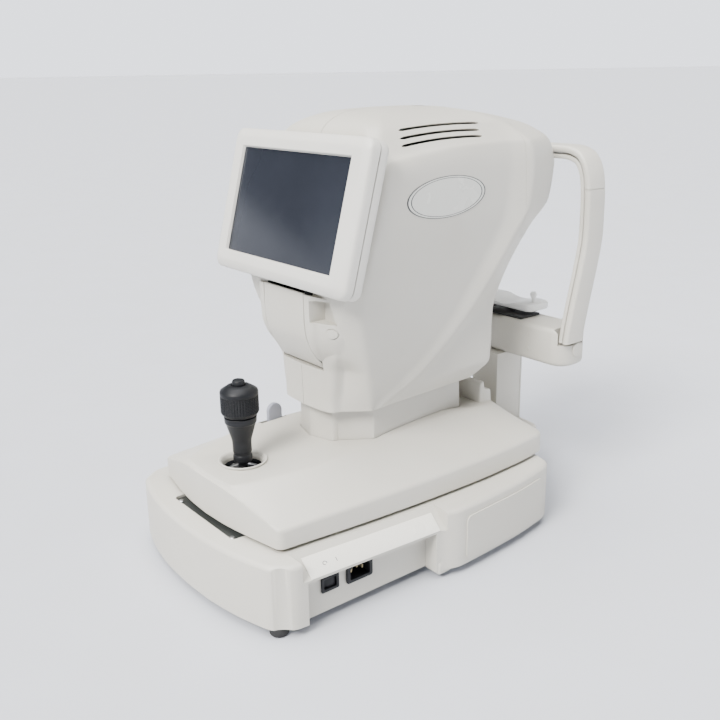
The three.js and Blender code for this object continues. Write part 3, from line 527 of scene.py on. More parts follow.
HOLLOW_DROP_Z, HOLLOW_DROP_FADE = 400, 50  # the hollow's roof is lowered above this height


def roof_lift(z, y):
    """How far the roof's line rises or falls, near the top of the head."""
    arch = max(0.0, 1 - abs(z - ROOF_Z) / ROOF_REACH)
    forward = min(1.0, max(0.0, (ROOF_BEND_Y - y) / ROOF_BEND_LENGTH))
    return arch * (ROOF_RISE - ROOF_FALL * forward ** ROOF_POWER)


def head_ring(row, inset):
    (z, front, brow, lip_x, lip_y, corner_x, corner_y,
     ridge_x, ridge_y, foot_x, foot_y, nose_x, nose_y, rear) = row
    fade = min(1.0, (z - BAND_FOOT) / BAND_FOOT_FADE, (BAND_TOP - z) / BAND_TOP_FADE)
    relief = BAND_RELIEF * max(0.0, fade)
    band_in = (ridge_x - relief, ridge_y, z)
    crest = (ridge_x + 0.3 * relief, ridge_y + (foot_y - ridge_y) * 0.4, z)
    half = [
        (0, front, z), (brow, front + 3, z), (lip_x, lip_y, z), (corner_x, corner_y, z), band_in,
        crest, (foot_x, foot_y, z), (nose_x + 4, nose_y - 4, z), (nose_x - 14, nose_y + 4, z),
        (0, rear, z),
    ]
    middle, half_depth = (front + rear) / 2, (rear - front) / 2
    across, along = 1 - inset / max(corner_x, 20), 1 - inset / half_depth
    shrunk = [(x * across, middle + (y - middle) * along, z) for x, y, z in half]
    line = rounded(shrunk, HEAD_CUTS, 6, 4)
    return mirrored([Vector((p.x, p.y, p.z + roof_lift(z, p.y))) for p in line])


def head_block(name, inset, low, high):
    rows = [list(row) for row in smooth_rows(HEAD_ROWS, 5)]
    rings = [head_ring(row, inset) for row in rows]
    rings[0] = [p + Vector((0, 0, low)) for p in rings[0]]
    for i, row in enumerate(rows):
        drop = high * max(0.0, min(1.0, (row[0] - HOLLOW_DROP_Z) / HOLLOW_DROP_FADE))
        rings[i] = [p + UP * drop for p in rings[i]]
    return loft(name, rings)


DOOR_BAY_FOOT = 212.5

# z, front y, width scale of the printer's surround
SNOUT_ROWS = [
    (214, -105, 0.66), (222, -110.5, 0.76), (231, -117, 0.86), (243, -123.5, 0.95),
    (258, -127.5, 1), (276, -128.5, 1), (302, -128.5, 1),
]
SNOUT_CUTS = [0, 5, 4, 9, 12, 1, 0]
SNOUT_HALF = 76


def snout_block(name, inset):
    rings = []
    for z, front, scale in smooth_rows(SNOUT_ROWS, 5):
        y = front + inset
        half = [(0, y), (45, y + 0.5), (49, y + 6.5), (66, y + 13), (76, y + 29), (77, -60), (0, -60)]
        narrow = scale * (1 - inset / SNOUT_HALF)
        line = [(x * narrow, depth, z) for x, depth in half]
        rings.append(mirrored(rounded(line, SNOUT_CUTS, 6, 3)))
    return loft(name, rings)


# apex z, fall towards the ends, first y, last y, x of the slot's mouth
VENTS = [(452.2, 3.7, -37, 74, 72), (446.0, 4.3, -41, 69, 79), (440.2, 4.6, -44, 67.5, 85)]
VENT_SLOPE = 0.3125
VENT_APEX_Y = 37
VENT_FALL_LENGTH = 75  # a slot has its full fall this far from its apex
VENT_HALF_HEIGHT = 1.5
VENT_REACH = 30  # how far the cutter goes to each side of the slot's mouth
BUTTON_X, BUTTON_Z = 63, 259


def vent_cutter(apex, fall, y0, y1, mouth_x):
    """A slot along Y that arches upward, cut into the shoulder of the head."""
    rings = []
    steps = 24
    for k in range(steps + 1):
        y = y0 + (y1 - y0) * k / steps
        z = apex - fall * ((y - VENT_APEX_Y) / VENT_FALL_LENGTH) ** 2
        end = min(k, steps - k) / steps
        thick = VENT_HALF_HEIGHT * min(1.0, 0.4 + 20 * end)
        rise = VENT_REACH * VENT_SLOPE
        inside, outside = mouth_x - VENT_REACH, mouth_x + VENT_REACH
        rings.append([
            (inside, y, z - thick - rise), (outside, y, z - thick + rise),
            (outside, y, z + thick + rise), (inside, y, z + thick - rise),
        ])
    return loft("vent", rings, caps="ngon")


def button_bore(radius):
    return cylinder("button_bore", radius, (BUTTON_X, -140, BUTTON_Z), (BUTTON_X, -80, BUTTON_Z), 48)


def make_head():
    recess_outline = [(43.5, 291), (43.5, 269), (69, 268), (62, 291)]
    shell = join(head_block("head_shell", 0, 0, 0), snout_block("snout", 0))
    hollow = cut(head_block("hollow", WALL, -6, -WALL), block("front_ribs", -90, 90, -130, -96, 205, 300))
    cut(
        shell, hollow,
        block("screen_bay", -130, 130, -60, BACK_DEPTH + 2.5, -80, 140, SCREEN_FRAME),
        block("hinge_bay", -46, 46, BACK_DEPTH, BACK_DEPTH + 14, 52, 73.5, SCREEN_FRAME),
        block("door_bay", -36, 36, -140, -70, DOOR_BAY_FOOT, 305),
        cylinder("optic_bore", 30.3, (0, 180, OPTIC_Z), (0, 230, OPTIC_Z), 64),
        button_bore(5.6), *[vent_cutter(*vent) for vent in VENTS],
        prism("finger_recess", recess_outline, -150, -108, "Y"),
    )
    nose = keep(copy_of(shell, "nose_cover"), block("nose_part", -140, 140, 122 + SEAM, 240, 330 + SEAM, 480))
    cut(shell, block("nose_zone", -140, 140, 122, 240, 330, 480))
    right = keep(copy_of(shell, "head_side_right"), block("right_half", SEAM, 150, -160, 240, 150, 480))
    left = keep(shell, block("left_half", -150, -SEAM, -160, 240, 150, 480))
    left.name = "head_side_left"
    piece(right, "head", "ivory_plastic", IVORY, "head_cover_right", angle=38)
    piece(left, "head", "ivory_plastic", IVORY, "head_cover_left", angle=38)
    piece(nose, "head", "ivory_plastic", IVORY, "head_nose_cover", angle=38)
    make_badge(right)


def make_badge(cover):
    """A blank oval plate with two fine lines round it, lying on the head's right side."""
    tree = BVHTree.FromObject(cover, bpy.context.evaluated_depsgraph_get())
    centre_y, centre_z = 4.5, 384.5
    half_long, half_high = 57.0, 20.3
    tilt = math.radians(1)

    def spot(u, v, lift):
        y = centre_y + u * math.cos(tilt) - v * math.sin(tilt)
        z = centre_z + u * math.sin(tilt) + v * math.cos(tilt)
        start = TO_ROW @ Vector((160, y, z))
        hit = tree.ray_cast(start, Vector((-1, 0, 0)))[0]
        x = hit.x * 1000 if hit else 100
        return (x + lift, y, z)

    def oval(name, inner, outer, lift, material):
        around, across = 96, 1 if inner else 10
        points, faces = [], []
        for level in (-0.4, lift):
            for k in range(across + 1):
                share = inner + (outer - inner) * k / across
                share = max(share, 0.02)
                for j in range(around):
                    angle = 2 * math.pi * j / around
                    u = half_long * share * math.cos(angle)
                    v = half_high * share * math.sin(angle)
                    points.append(spot(u, v, level))
        rows = across + 1
        for k in range(across):
            for j in range(around):
                a, b = k * around + j, k * around + (j + 1) % around
                low = (a, b, b + around, a + around)
                faces.append(low)
                faces.append(tuple(i + rows * around for i in low))
        for edge in (0, across):
            for j in range(around):
                a, b = edge * around + j, edge * around + (j + 1) % around
                faces.append((a, b, b + rows * around, a + rows * around))
        piece(mesh_from(name, points, faces), "head", "ivory_plastic", material)

    oval("badge_plate", 0, 0.97, 0.35, BADGE)
    oval("badge_line_outer", 0.96, 1.0, 0.3, PRINT)
    oval("badge_line_inner", 0.89, 0.912, 0.45, PRINT)


# ------------------------------------------------------------------ screen
def make_screen():
    width, height = BEZEL
    glass_width, glass_height = GLASS
    profile = [
        (12.0, 0.4, 11), (11.6, 0, 11), (5.5, 0, 11), (3.4, 0.4, 11), (1.8, 1.6, 10), (-0.2, 5.6, 8.5),
        (-1.6, 8.4, 7.5), (-2.0, 10.6, 7), (-2.0, 14, 5),
    ]
    rings = [[(x, y, z) for x, z in rounded_rectangle(width - inset, height - inset, corner)]
             for y, inset, corner in profile]
    for y, inset in ((-2.0, -0.6), (-1.6, 0.0), (1.0, 1.2), (12.0, 1.2)):
        opening = rounded_rectangle(glass_width - inset, glass_height - inset, 1.5)
        rings.append([(x, y, z) for x, z in opening])
    count = len(rings[0])
    faces = skin_faces(len(rings), count, closed=True)
    bezel = mesh_from("screen_bezel", [p for ring in rings for p in ring], faces, SCREEN_FRAME)
    bay_layers = [(1, 0), (20, 0)]
    cut(bezel, slab("panel_bay", lambda inset: rounded_rectangle(108, 67, 4), bay_layers, SCREEN_FRAME))
    piece(bezel, "monitor", "pale_plastic", PALE, "monitor_bezel", angle=30)

    def back_outline(inset):
        return rounded_rectangle(width - 0.5 - inset, height - 0.5 - inset, max(11 - inset, 3))

    back_layers = rounded_layers(13.3, BACK_DEPTH, 4.0, low_edge=0.5)
    back = slab("screen_back", back_outline, back_layers, SCREEN_FRAME)
    rebate_layers = [(12.3, 0), (16, 0)]
    rebate = slab("back_rebate", lambda inset: rounded_rectangle(111.5, 71, 9), rebate_layers, SCREEN_FRAME)
    join(back, rebate)
    hinge_y, hinge_z = 28, 66

    def along_hinge(name, radius, half_length, sides):
        ends = [(side * half_length, hinge_y, hinge_z) for side in (-1, 1)]
        return cylinder(name, radius, *ends, sides, SCREEN_FRAME)

    ears = block("hinge_ears", -40, 40, BACK_DEPTH - 1, hinge_y - 3, hinge_z - 6, hinge_z + 6, SCREEN_FRAME)
    join(back, ears, along_hinge("hinge_barrel", 4, 40, 32))
    hollow_depths = [(10, 0), (BACK_DEPTH - WALL, 0)]
    cut(
        back,
        slab("back_hollow", lambda inset: rounded_rectangle(108, 67, 8), hollow_depths, SCREEN_FRAME),
        along_hinge("knuckle_bay", 4.6, 20.3, 32),
        along_hinge("pin_bore", 1.8, 50, 24),
    )
    piece(back, "monitor", "pale_plastic", PALE, "monitor_back")


# ------------------------------------------------------------------ printer
# y and z up the door's outer face
DOOR_ROWS = [
    (-105.4, 214.8), (-109.5, 219.5), (-112.5, 223.5), (-121, 238), (-127, 254), (-128.7, 272), (-128.2, 297),
]
DOOR_THICK = 2.6
DOOR_HALF = 35
DOOR_PIN = (-101, 219)  # y and z


def make_printer():
    outer = smooth_rows(DOOR_ROWS, 4)
    inner = [(y + DOOR_THICK, z + (1.0 if z < 240 else 0)) for y, z in reversed(outer)]
    door = bevelled(prism("door_panel", outer + inner, -DOOR_HALF, DOOR_HALF), 0.7, 3, 40)
    join(door, block("door_hinge", -8, 8, -106.6, -97.5, 216.5, 221.5))
    cut(door, cylinder("door_pin_bore", 1.8, (-40, *DOOR_PIN), (40, *DOOR_PIN), 24))
    piece(door, "door", "ivory_plastic", IVORY, "printer_door")
    stem = cylinder("release_button", 5.0, (BUTTON_X, -98, BUTTON_Z), (BUTTON_X, -140, BUTTON_Z))
    button = keep(stem, snout_block("front", -0.5))
    piece(bevelled(button, 0.5, 2, 50), "door_key", "ivory_plastic", IVORY, "door_button")


# ------------------------------------------------------------------ neck and stage
STAGE_WALL = [
    (0, -233, 120), (44, -231, 119), (113, -218, 99), (116, -179, 100), (120, -134, 101), (124, -60, 102),
    (125, 0, 103), (125, 40, 103), (121, 110, 103), (114, 148, 101), (60, 156, 103), (0, 158, 104),
]
STAGE_PLATFORM = [
    (0, -229, 124), (42, -226, 123), (53, -205, 125), (66, -165, 127), (71, -128, 128.5), (62, -60, 131),
    (58, 0, 132), (58, 40, 132), (61, 97, 131), (54, 128, 126), (30, 136, 126), (0, 138, 126),
]
WALL_CUTS = [0, 34, 7, 22, 30, 40, 20, 20, 25, 9, 28, 0]
PLATFORM_CUTS = [0, 7, 14, 22, 22, 30, 20, 20, 20, 14, 14, 0]
NECK = [(0, -101), (30, -93), (33, -87), (57, -58), (52, -30), (46, 30), (38, 90), (0, 92)]
NECK_CUTS = [0, 1.2, 1.2, 1.6, 20, 30, 6, 0]


def stage_rings(inset, bottom):
    def shrink(x, y, z):
        return (x * (1 - inset / 120), -35 + (y + 35) * (1 - inset / 195), z)

    wall = [shrink(x, y, z - inset) for x, y, z in STAGE_WALL]
    crown = [shrink(x, y, z - inset) for x, y, z in STAGE_PLATFORM]
    wall_line = rounded(wall, WALL_CUTS, 6, 4)
    crown_line = rounded(crown, PLATFORM_CUTS, 6, 4)
    foot_line = [Vector((p.x, p.y, bottom)) for p in wall_line]
    rings = [foot_line]
    for drop, share in ((3.2, 0.0), (1.6, 0.006), (0.5, 0.02), (0.0, 0.05)):
        blend = [w.lerp(c, share) for w, c in zip(wall_line, crown_line)]
        rings.append([Vector((p.x, p.y, p.z - drop)) for p in blend])
    for share in (0.12, 0.25, 0.4, 0.55, 0.7, 0.84, 0.93, 0.98):
        sag = -1.2 * math.sin(math.pi * share)
        rings.append([w.lerp(c, share) + UP * sag for w, c in zip(wall_line, crown_line)])
    for share, lift in ((0.03, 0.15), (0.08, 0.35), (0.3, 0.7)):
        size = 1 - share
        rings.append([Vector((c.x * size, -40 + (c.y + 40) * size, c.z + lift)) for c in crown_line])
    return [mirrored(ring) for ring in rings]


def neck_ring(inset, z):
    points = [(x * (1 - inset / 52), (y + 2) * (1 - inset / 98) - 2, z) for x, y in NECK]
    return mirrored(rounded(points, NECK_CUTS, 4, 2))


def make_stage():
    cover = loft("stage_shell", stage_rings(0, 80))
    cut(
        cover, loft("stage_hollow", stage_rings(WALL, 70)),
        cylinder("stick_hole", 21.5, (0, STICK_Y, 110), (0, STICK_Y, 140), 96),
        loft("neck_hole", [neck_ring(-0.5, 90), neck_ring(-0.5, 150)]),
        block("lever_slot", -70.5, -63.5, -122, -88, 105, 150),
    )
    hump_outline = [(113, 118), (113, 151), (119, 153), (121, 143), (131, 140), (133, 118)]
    join(cover, bevelled(prism("rear_hump", hump_outline, -46, 46), 2.0, 3, 30))
    piece(cover, "stage", "ivory_plastic", IVORY, "stage_cover", angle=36)

    skirt = loft("neck_shell", [neck_ring(0, 106), neck_ring(0, 112), neck_ring(1, 150), neck_ring(2, 185)])
    groove = prism("neck_groove", [(31.0, -101), (33.6, -101), (33.6, -86.8), (31.8, -86.8)], 100, 190, "Z")
    cut(skirt, groove, loft("neck_hollow", [neck_ring(2.6, 100), neck_ring(5, 190)]))
    piece(skirt, "stage", "ivory_plastic", IVORY, "neck_skirt", angle=28)

    rim = turned(
        "stick_rim",
        [
            (20.2, 106), (20.2, 121), (22.4, 125.6), (24.6, 126.7),
            (25.4, 126.2), (25.2, 124.6), (21.6, 122), (21.6, 106),
        ],
        (0, STICK_Y), 96, cuts=[0, 1, 1.2, 0.8, 0.6, 0.6, 1, 0],
    )
    piece(rim, "stage", "ivory_plastic", IVORY)
    turns = [math.pi * k / 20 for k in range(21)]
    tab_outline = [(-112, 112), (-94, 112)]
    tab_outline += [(-103 + 9 * math.cos(a), 139 + 9 * math.sin(a)) for a in turns]
    lever = bevelled(prism("lock_tab", tab_outline, -69.5, -64.5), 0.8, 3, 40)
    piece(lever, "lock", "grey_plastic", GREY, "lock_lever")


# ------------------------------------------------------------------ joystick
KNURL_DEPTH = 0.75
KNURL_RADIUS = 19.5
KNURL_LOW, KNURL_HIGH = 178.4, 196.0
KNURL_PITCH = 1.6  # height of one row of lozenges
KNURL_WAVES = 20  # half as many as the lozenges round the ring


def make_joystick():
    shaft = turned("stick_shaft", [
        (0, 73.4), (3.5, 74.2), (6.2, 77.5), (7, 81), (6.2, 84.5), (5, 87), (5, 122),
        (9.8, 125), (9.8, 131), (9.2, 132), (9.2, 134), (9.8, 135), (9.8, 147),
        (15.4, 166.5), (16.4, 167.5), (16.8, 173.6), (10, 174.2), (10, 205),
        (7.1, 205), (7.1, 203), (0, 203),
    ], (0, STICK_Y), 96, cuts=[
        0, 1, 2, 2, 2, 1, 1, 1, 0.6, 0.4, 0.4, 0.6, 3, 0.8, 0.6, 0.6, 0.4, 0.4, 0.3, 0.3, 0,
    ])
    cross_pin = cylinder("cross_pin", 1.5, (0, STICK_Y - 16, 112), (0, STICK_Y + 16, 112), 24)
    join(shaft, cross_pin)
    piece(shaft, "stick", "black_plastic", BLACK, "joystick_shaft")

    profile = [(10.3, 174.8), (16.6, 174.8), (18.6, 177.0)]
    rows, sides = 67, 240
    line = [(r, z, False) for r, z in profile]
    for k in range(rows):
        z = KNURL_LOW + (KNURL_HIGH - KNURL_LOW) * k / (rows - 1)
        line.append((KNURL_RADIUS - KNURL_DEPTH, z, True))
    line += [(19.45, 196.8, False), (19.5, 199.6, False), (18.9, 201.4, False), (12.2, 205.8, False),
             (8.2, 206.9, False), (7.4, 206.7, False), (7.3, 205.3, False), (10.3, 205.2, False)]
    points = []
    for radius, z, knurled in line:
        for j in range(sides):
            angle = 2 * math.pi * j / sides
            proud = 0.0
            if knurled:
                level = abs(math.sin(math.pi * (z - KNURL_LOW) / KNURL_PITCH))
                ridges = abs(math.sin(KNURL_WAVES * angle)) * level
                proud = KNURL_DEPTH * min(1.0, 1.7 * ridges)
            r = radius + proud
            points.append((r * math.cos(angle), STICK_Y + r * math.sin(angle), z))
    faces = skin_faces(len(line), sides, closed=True)
    piece(mesh_from("stick_grip", points, faces), "grip", "black_grip", GRIP, "elevation_ring", angle=60)
    button = turned(
        "measure_cap",
        [(0, 205), (6.5, 205), (6.7, 209.8), (5.9, 211.6), (5.2, 211.9), (4.9, 211.2), (0, 211.6)],
        (0, STICK_Y), 64, cuts=[0, 0.3, 0.6, 0.6, 0.3, 0.4, 0],
    )
    piece(button, "measure_key", "black_plastic", BLACK, "measure_button")


# ------------------------------------------------------------------ base
BASE_OUTLINE = [
    (0, -260), (45, -258.5), (90, -251), (126, -240), (140, -221), (141, -206), (149, -47), (156, -28),
    (155, 0), (150, 70), (141, 121), (134, 135), (70, 150), (52, 213), (0, 219),
]
BASE_CUTS = [0, 22, 20, 7, 6, 6, 6, 8, 14, 25, 7, 5, 6, 8, 0]


def base_ring(inset, z):
    points = [(x * (1 - inset / 145), -20 + (y + 20) * (1 - inset / 235), z) for x, y in BASE_OUTLINE]
    return mirrored(rounded(points, BASE_CUTS, 6, 3))


def base_block(name, inset, bottom, top, edge=5.0):
    rings = [base_ring(inset, bottom)]
    for k in range(6):
        angle = math.pi / 2 * k / 5
        rings.append(base_ring(inset + edge * (1 - math.cos(angle)), top - edge * (1 - math.sin(angle))))
    return loft(name, rings)


def ledge(name, lift):
    """What lies above the sloping ledge over the service panel."""
    front = [(118 - lift, DECK - lift), (118 - lift, 90), (170, 90), (170, 45), (141 - lift, 56)]
    rear = [(130 - lift, DECK - lift), (130 - lift, 90), (170, 90), (170, 45), (150 - lift, 56)]
    ends = [[(x, -212 - lift, z) for x, z in front], [(x, -40 + lift, z) for x, z in rear]]
    return loft(name, ends, caps="ngon")


def recess(name, x, low):
    grow = RECESS_X - x
    return block(name, x, 170, RECESS[0] - grow, RECESS[1] + grow, low, RECESS_TOP + grow)


def make_base():
    cover = base_block("base_shell", 0, 10, DECK)
    heel = bevelled(block("heel", 100, 150.5, -50, -24, 5.2, 20), 3, 3)
    join(cover, heel)
    cut(
        cover, ledge("ledge", 0), recess("recess", RECESS_X, 0),
        cylinder("corner_scoop", 26, (151.5, -246, 0), (151.5, -246, 100), 64),
    )
    side = base_block("side_panel", -1.4, 13.5, DECK - 5.5, 2.0)

    def panel_outline(inset):
        return [(50 + x, 39.5 + z) for x, z in rounded_rectangle(66, 25, 7)]

    facing_x = Matrix.Rotation(math.radians(-90), 4, "Z") @ Matrix.Scale(-1, 4, (1, 0, 0))
    zone = slab("panel_zone", panel_outline, [(100, 0), (170, 0)], facing_x)
    join(cover, keep(side, zone))
    hollow = cut(base_block("base_hollow", WALL, 0, DECK - WALL, 3), ledge("ledge_inner", WALL),
                 recess("recess_inner", RECESS_X - WALL, 0))
    window = slab("window", lambda inset: [(x, -193.5 + z) for x, z in rounded_rectangle(60, 44, 5)],
                  [(60, 0), (90, 0)], axis="Z")
    cut(
        cover, hollow, window, block("cable_hole", -20, 20, 60, 90, 60, 90),
        block("socket_hole", 120, 140, SOCKET[0] - 14, SOCKET[0] + 14, SOCKET[1] - 9, SOCKET[1] + 9),
        block("switch_hole", 120, 140, SWITCH[0] - 8.5, SWITCH[0] + 8.5, SWITCH[1] - 6.5, SWITCH[1] + 6.5),
    )
    piece(cover, "base", "ivory_plastic", IVORY, "base_cover", angle=36)

    screw_profile = [(0, 72.8), (3, 72.8), (3.1, 73.8), (2.2, 74.6), (0, 74.7)]
    for index, place in enumerate([(52, -233.5), (-52, -233.5)]):
        screw = turned(f"window_screw_{index + 1}", screw_profile, place, 32)
        piece(screw, "base", "steel", STEEL)
    make_service_panel()


def make_service_panel():
    def surface(y):
        share = (y + 212) / 172
        return lerp((118, DECK), (130, DECK), share), lerp((141, 56), (150, 56), share)

    def on_film(y, reach, lift):
        """A point at a reach down the slope and a lift off it."""
        (x0, z0), (x1, z1) = surface(y)
        length = math.hypot(x1 - x0, z1 - z0)
        return ((x0 + (x1 - x0) / length * reach + (z0 - z1) / length * lift), y,
                (z0 + (z1 - z0) / length * reach + (x1 - x0) / length * lift))

    def strip_ring(y, margin_in, margin_out, low, high):
        (x0, z0), (x1, z1) = surface(y)
        start, end = margin_in, math.hypot(x1 - x0, z1 - z0) - margin_out
        corners = [
            (start, low), (end, low), (end, high - 0.25),
            (end - 0.4, high), (start + 0.4, high), (start, high - 0.25),
        ]
        return [on_film(y, reach, lift) for reach, lift in corners]

    strip = [strip_ring(y, 7.2, 0.6, 0.3, 1.1) for y in (-203, -150, -100, -48)]
    piece(loft("switch_film", strip, caps="ngon"), "base", "cream_strip", CREAM, "switch_trim_strip")

    sides, points = 40, []
    for radius, lift in ((1.5, 1.0), (1.5, 1.2), (2.1, 1.2), (2.1, 1.0)):
        for k in range(sides):
            angle = 2 * math.pi * k / sides
            u, v = radius * 1.15 * math.cos(angle), radius * math.sin(angle)
            points.append(on_film(-183 + u, 19 + v, lift))
    piece(mesh_from("off_mark", points, skin_faces(4, sides, closed=True)), "base", "cream_strip", PRINT)
    bar = ((-170.3, 17), (-169.7, 17), (-169.7, 21), (-170.3, 21))
    rings = [[on_film(y, reach, lift) for y, reach in bar] for lift in (1.0, 1.2)]
    piece(loft("on_mark", rings, caps="ngon"), "base", "cream_strip", PRINT)

    y, z = SOCKET
    flange = slab(
        "inlet_flange", lambda inset: rounded_rectangle(16 - inset, 11 - inset, 2.5),
        rounded_layers(-3.0, -0.35, 0.7, 3), Matrix.Translation((RECESS_X, y, z)) @ QUARTER_Z,
    )
    body = block("inlet_body", 110, RECESS_X + 1, y - 13.5, y + 13.5, z - 8.5, z + 8.5)
    join(flange, body)
    mouth = [
        (y - 12, z - 7.5), (y + 12, z - 7.5), (y + 12, z + 3.5),
        (y + 8, z + 7.5), (y - 8, z + 7.5), (y - 12, z + 3.5),
    ]
    cut(flange, prism("inlet_mouth", mouth, 116, 145))
    piece(bevelled(flange, 0.35, 2, 40), "base", "black_plastic", BLACK, "power_inlet")

    y, z = SWITCH
    frame_piece = slab(
        "switch_frame", lambda inset: rounded_rectangle(10.5 - inset, 8.5 - inset, 1.5),
        rounded_layers(-2.3, -0.35, 0.6, 3), Matrix.Translation((RECESS_X, y, z)) @ QUARTER_Z,
    )
    join(frame_piece, block("switch_body", 112, RECESS_X + 1, y - 8, y + 8, z - 6, z + 6))
    cut(frame_piece, block("switch_mouth", 122, 140, y - 7.3, y + 7.3, z - 5.3, z + 5.3))
    piece(bevelled(frame_piece, 0.3, 2, 40), "base", "black_plastic", BLACK, "switch_housing")


# ------------------------------------------------------------------ chinrest
# from the foot to the middle of the top, as shares of the half width and of the height
BOW_SHAPE = [
    (1, 0), (1, 0.25), (1, 0.5), (0.998, 0.72), (0.985, 0.84),
    (0.94, 0.93), (0.85, 0.982), (0.68, 1), (0.34, 1), (0, 1),
]


def bow_rings(section):
    """The section carried along the bow, from its right foot over the top to its left foot."""
    line = []
    for u, v in smooth_rows(BOW_SHAPE, 5):
        z = BOW_FOOT + v * (BOW_TOP - BOW_FOOT)
        lean = min(max((z - BOW_FOOT) / BOW_LEAN_HEIGHT, 0), 1)
        lean = lean * lean * (3 - 2 * lean) * 0.35 + lean * 0.65
        line.append(Vector((u * BOW_HALF, BOW_Y + BOW_LEAN * lean, z)))
    line += [Vector((-p.x, p.y, p.z)) for p in reversed(line[:-1])]
    rings = []
    for i, point in enumerate(line):
        along = (line[min(i + 1, len(line) - 1)] - line[max(i - 1, 0)])
        along.y = 0
        along.normalize()
        outward = Vector((along.z, 0, -along.x))
        rings.append([point + outward * out + Vector((0, depth, 0)) for out, depth in section])
    return rings


def rounded_section(out0, out1, half_depth, corner):
    middle, half = (out0 + out1) / 2, (out1 - out0) / 2
    return [(middle + x, y) for x, y in rounded_rectangle(half, half_depth, corner, 5)]


def foot_spaces():
    """The two notches in the arm that the bow's feet stand in."""
    spaces = []
    for side in (-1, 1):
        x, top = side * BOW_HALF, ARM[4] + 10
        name = f"bow_foot_{side}"
        spaces.append(block(name, x - 10, x + 10, BOW_Y - 15.4, BOW_Y + 18, BOW_FOOT - 4, top))
    return spaces


def make_chinrest():
    half, front, rear, bottom, top = ARM
    depth, middle = (rear - front) / 2, (rear + front) / 2

    def outline(inset):
        return [(x, middle + y) for x, y in rounded_rectangle(half - inset, depth - inset, 20 - inset)]

    whole = slab("arm_shell", outline, rounded_layers(bottom, top, 6), axis="Z")
    front_zone = block("arm_front_zone", -130, 130, 100, rear - 8 + 0.4, 150, 230)
    rear_part = cut(copy_of(whole, "arm_rear"), front_zone)

    def hollow_outline(inset):
        return [(x, middle + y) for x, y in rounded_rectangle(half - WALL, depth - WALL, 17)]

    cut(
        whole, *foot_spaces(),
        block("arm_rear_zone", -130, 130, rear - 8, rear + 20, 150, 230),
        cylinder("shaft_bore", 9.3, (0, 194, 160), (0, 194, 230), 48),
        slab("arm_hollow", hollow_outline, [(bottom + WALL, 0), (BOW_FOOT - 8, 0)], axis="Z"),
    )
    piece(whole, "base", "ivory_plastic", IVORY, "chinrest_arm")
    cut(rear_part, *foot_spaces())
    piece(rear_part, "base", "ivory_plastic", IVORY, "arm_rear_cover")
    screw_profile = [(0, 0), (2.4, 0), (2.4, 0.5), (1.3, 0.9), (1.2, 0.2), (0, 0.2)]
    for index, z in enumerate((203, 184)):
        place = Matrix.Translation((60, front + 0.25, z)) @ QUARTER_X
        screw = turned(f"arm_screw_{index + 1}", screw_profile, (0, 0), 28, place)
        piece(screw, "base", "steel", IVORY)
    for side, name in ((1, "arm_cap_right"), (-1, "arm_cap_left")):
        facing_out = Matrix.Rotation(side * math.radians(90), 4, "Y")
        place = Matrix.Translation((side * 110.2, 204, 190)) @ facing_out
        cap = turned(f"end_{name}", [(0, 0), (8.8, 0), (8.8, 2.6), (8.0, 3.6), (0, 3.9)], (0, 0), 48, place)
        piece(cap, "base", "ivory_plastic", IVORY, name)

    outer = loft("bow_shell", bow_rings(rounded_section(1, 9, 15, 3.2)), caps="ngon")
    for side in (-1, 1):
        groove = block("bow_groove", side * 104 - 20, side * 104 + 20, 190, 250, 373.4, 374.3)
        ring = loft("bow_core", bow_rings(rounded_section(-3, 8.1, 14.1, 2.4)), caps="ngon")
        cut(groove, ring)
        cut(outer, groove)
    piece(outer, "base", "ivory_plastic", IVORY, "bow_outer", angle=40)
    inner = loft("bow_trim", bow_rings(rounded_section(-6, -0.8, 12.5, 1.6)), caps="ngon")
    piece(inner, "base", "ivory_plastic", IVORY, "bow_inner_trim", angle=40)

    def pad(inset):
        return [(x, 396.5 + z) for x, z in rounded_rectangle(42 - inset, 7.5 - inset, 5)]

    brow = slab("brow_pad", pad, rounded_layers(210, 234, 3))
    cut(brow, cylinder("brow_curve", 110, (0, 338, 380), (0, 338, 420), 160))
    piece(brow, "base", "white_plastic", WHITE, "forehead_rest")

    def dish_outline(inset):
        return [(x, CHIN_Y + 2 + y) for x, y in rounded_rectangle(46 - inset, 20 - inset, 9)]

    dish = slab("chin_dish", dish_outline, rounded_layers(CHIN_Z, CHIN_Z + 9, 2.2), axis="Z")
    hollow_z = CHIN_Z + 64.5
    cut(dish, cylinder("chin_hollow", 60, (0, CHIN_Y - 60, hollow_z), (0, CHIN_Y + 60, hollow_z), 160))
    for side in (-1, 1):
        foot, pin_top = CHIN_Z + 4, CHIN_Z + 22
        pin_profile = [
            (0, foot), (2, foot), (2, pin_top - 8), (4, pin_top - 5),
            (4, pin_top - 1.5), (2.6, pin_top - 0.2), (0, pin_top),
        ]
        join(dish, turned("chin_pin", pin_profile, (side * 36, CHIN_Y), 32))
    piece(dish, "chin", "white_plastic", WHITE, "chin_rest")
    boot_foot, pleat_height = 218.1, 1.15
    pleats = [(9.6, boot_foot)]
    for k in range(3):
        low = boot_foot + pleat_height * k
        pleats += [(19 - 2.4 * k, low + 0.25), (19 - 2.4 * k, low + 0.6), (13 - 1.2 * k, low + 1.0)]
    pleats += [(9.6, 221.6)]
    piece(turned("chin_boot", pleats, (0, 194), 64), "base", "rubber", RUBBER)


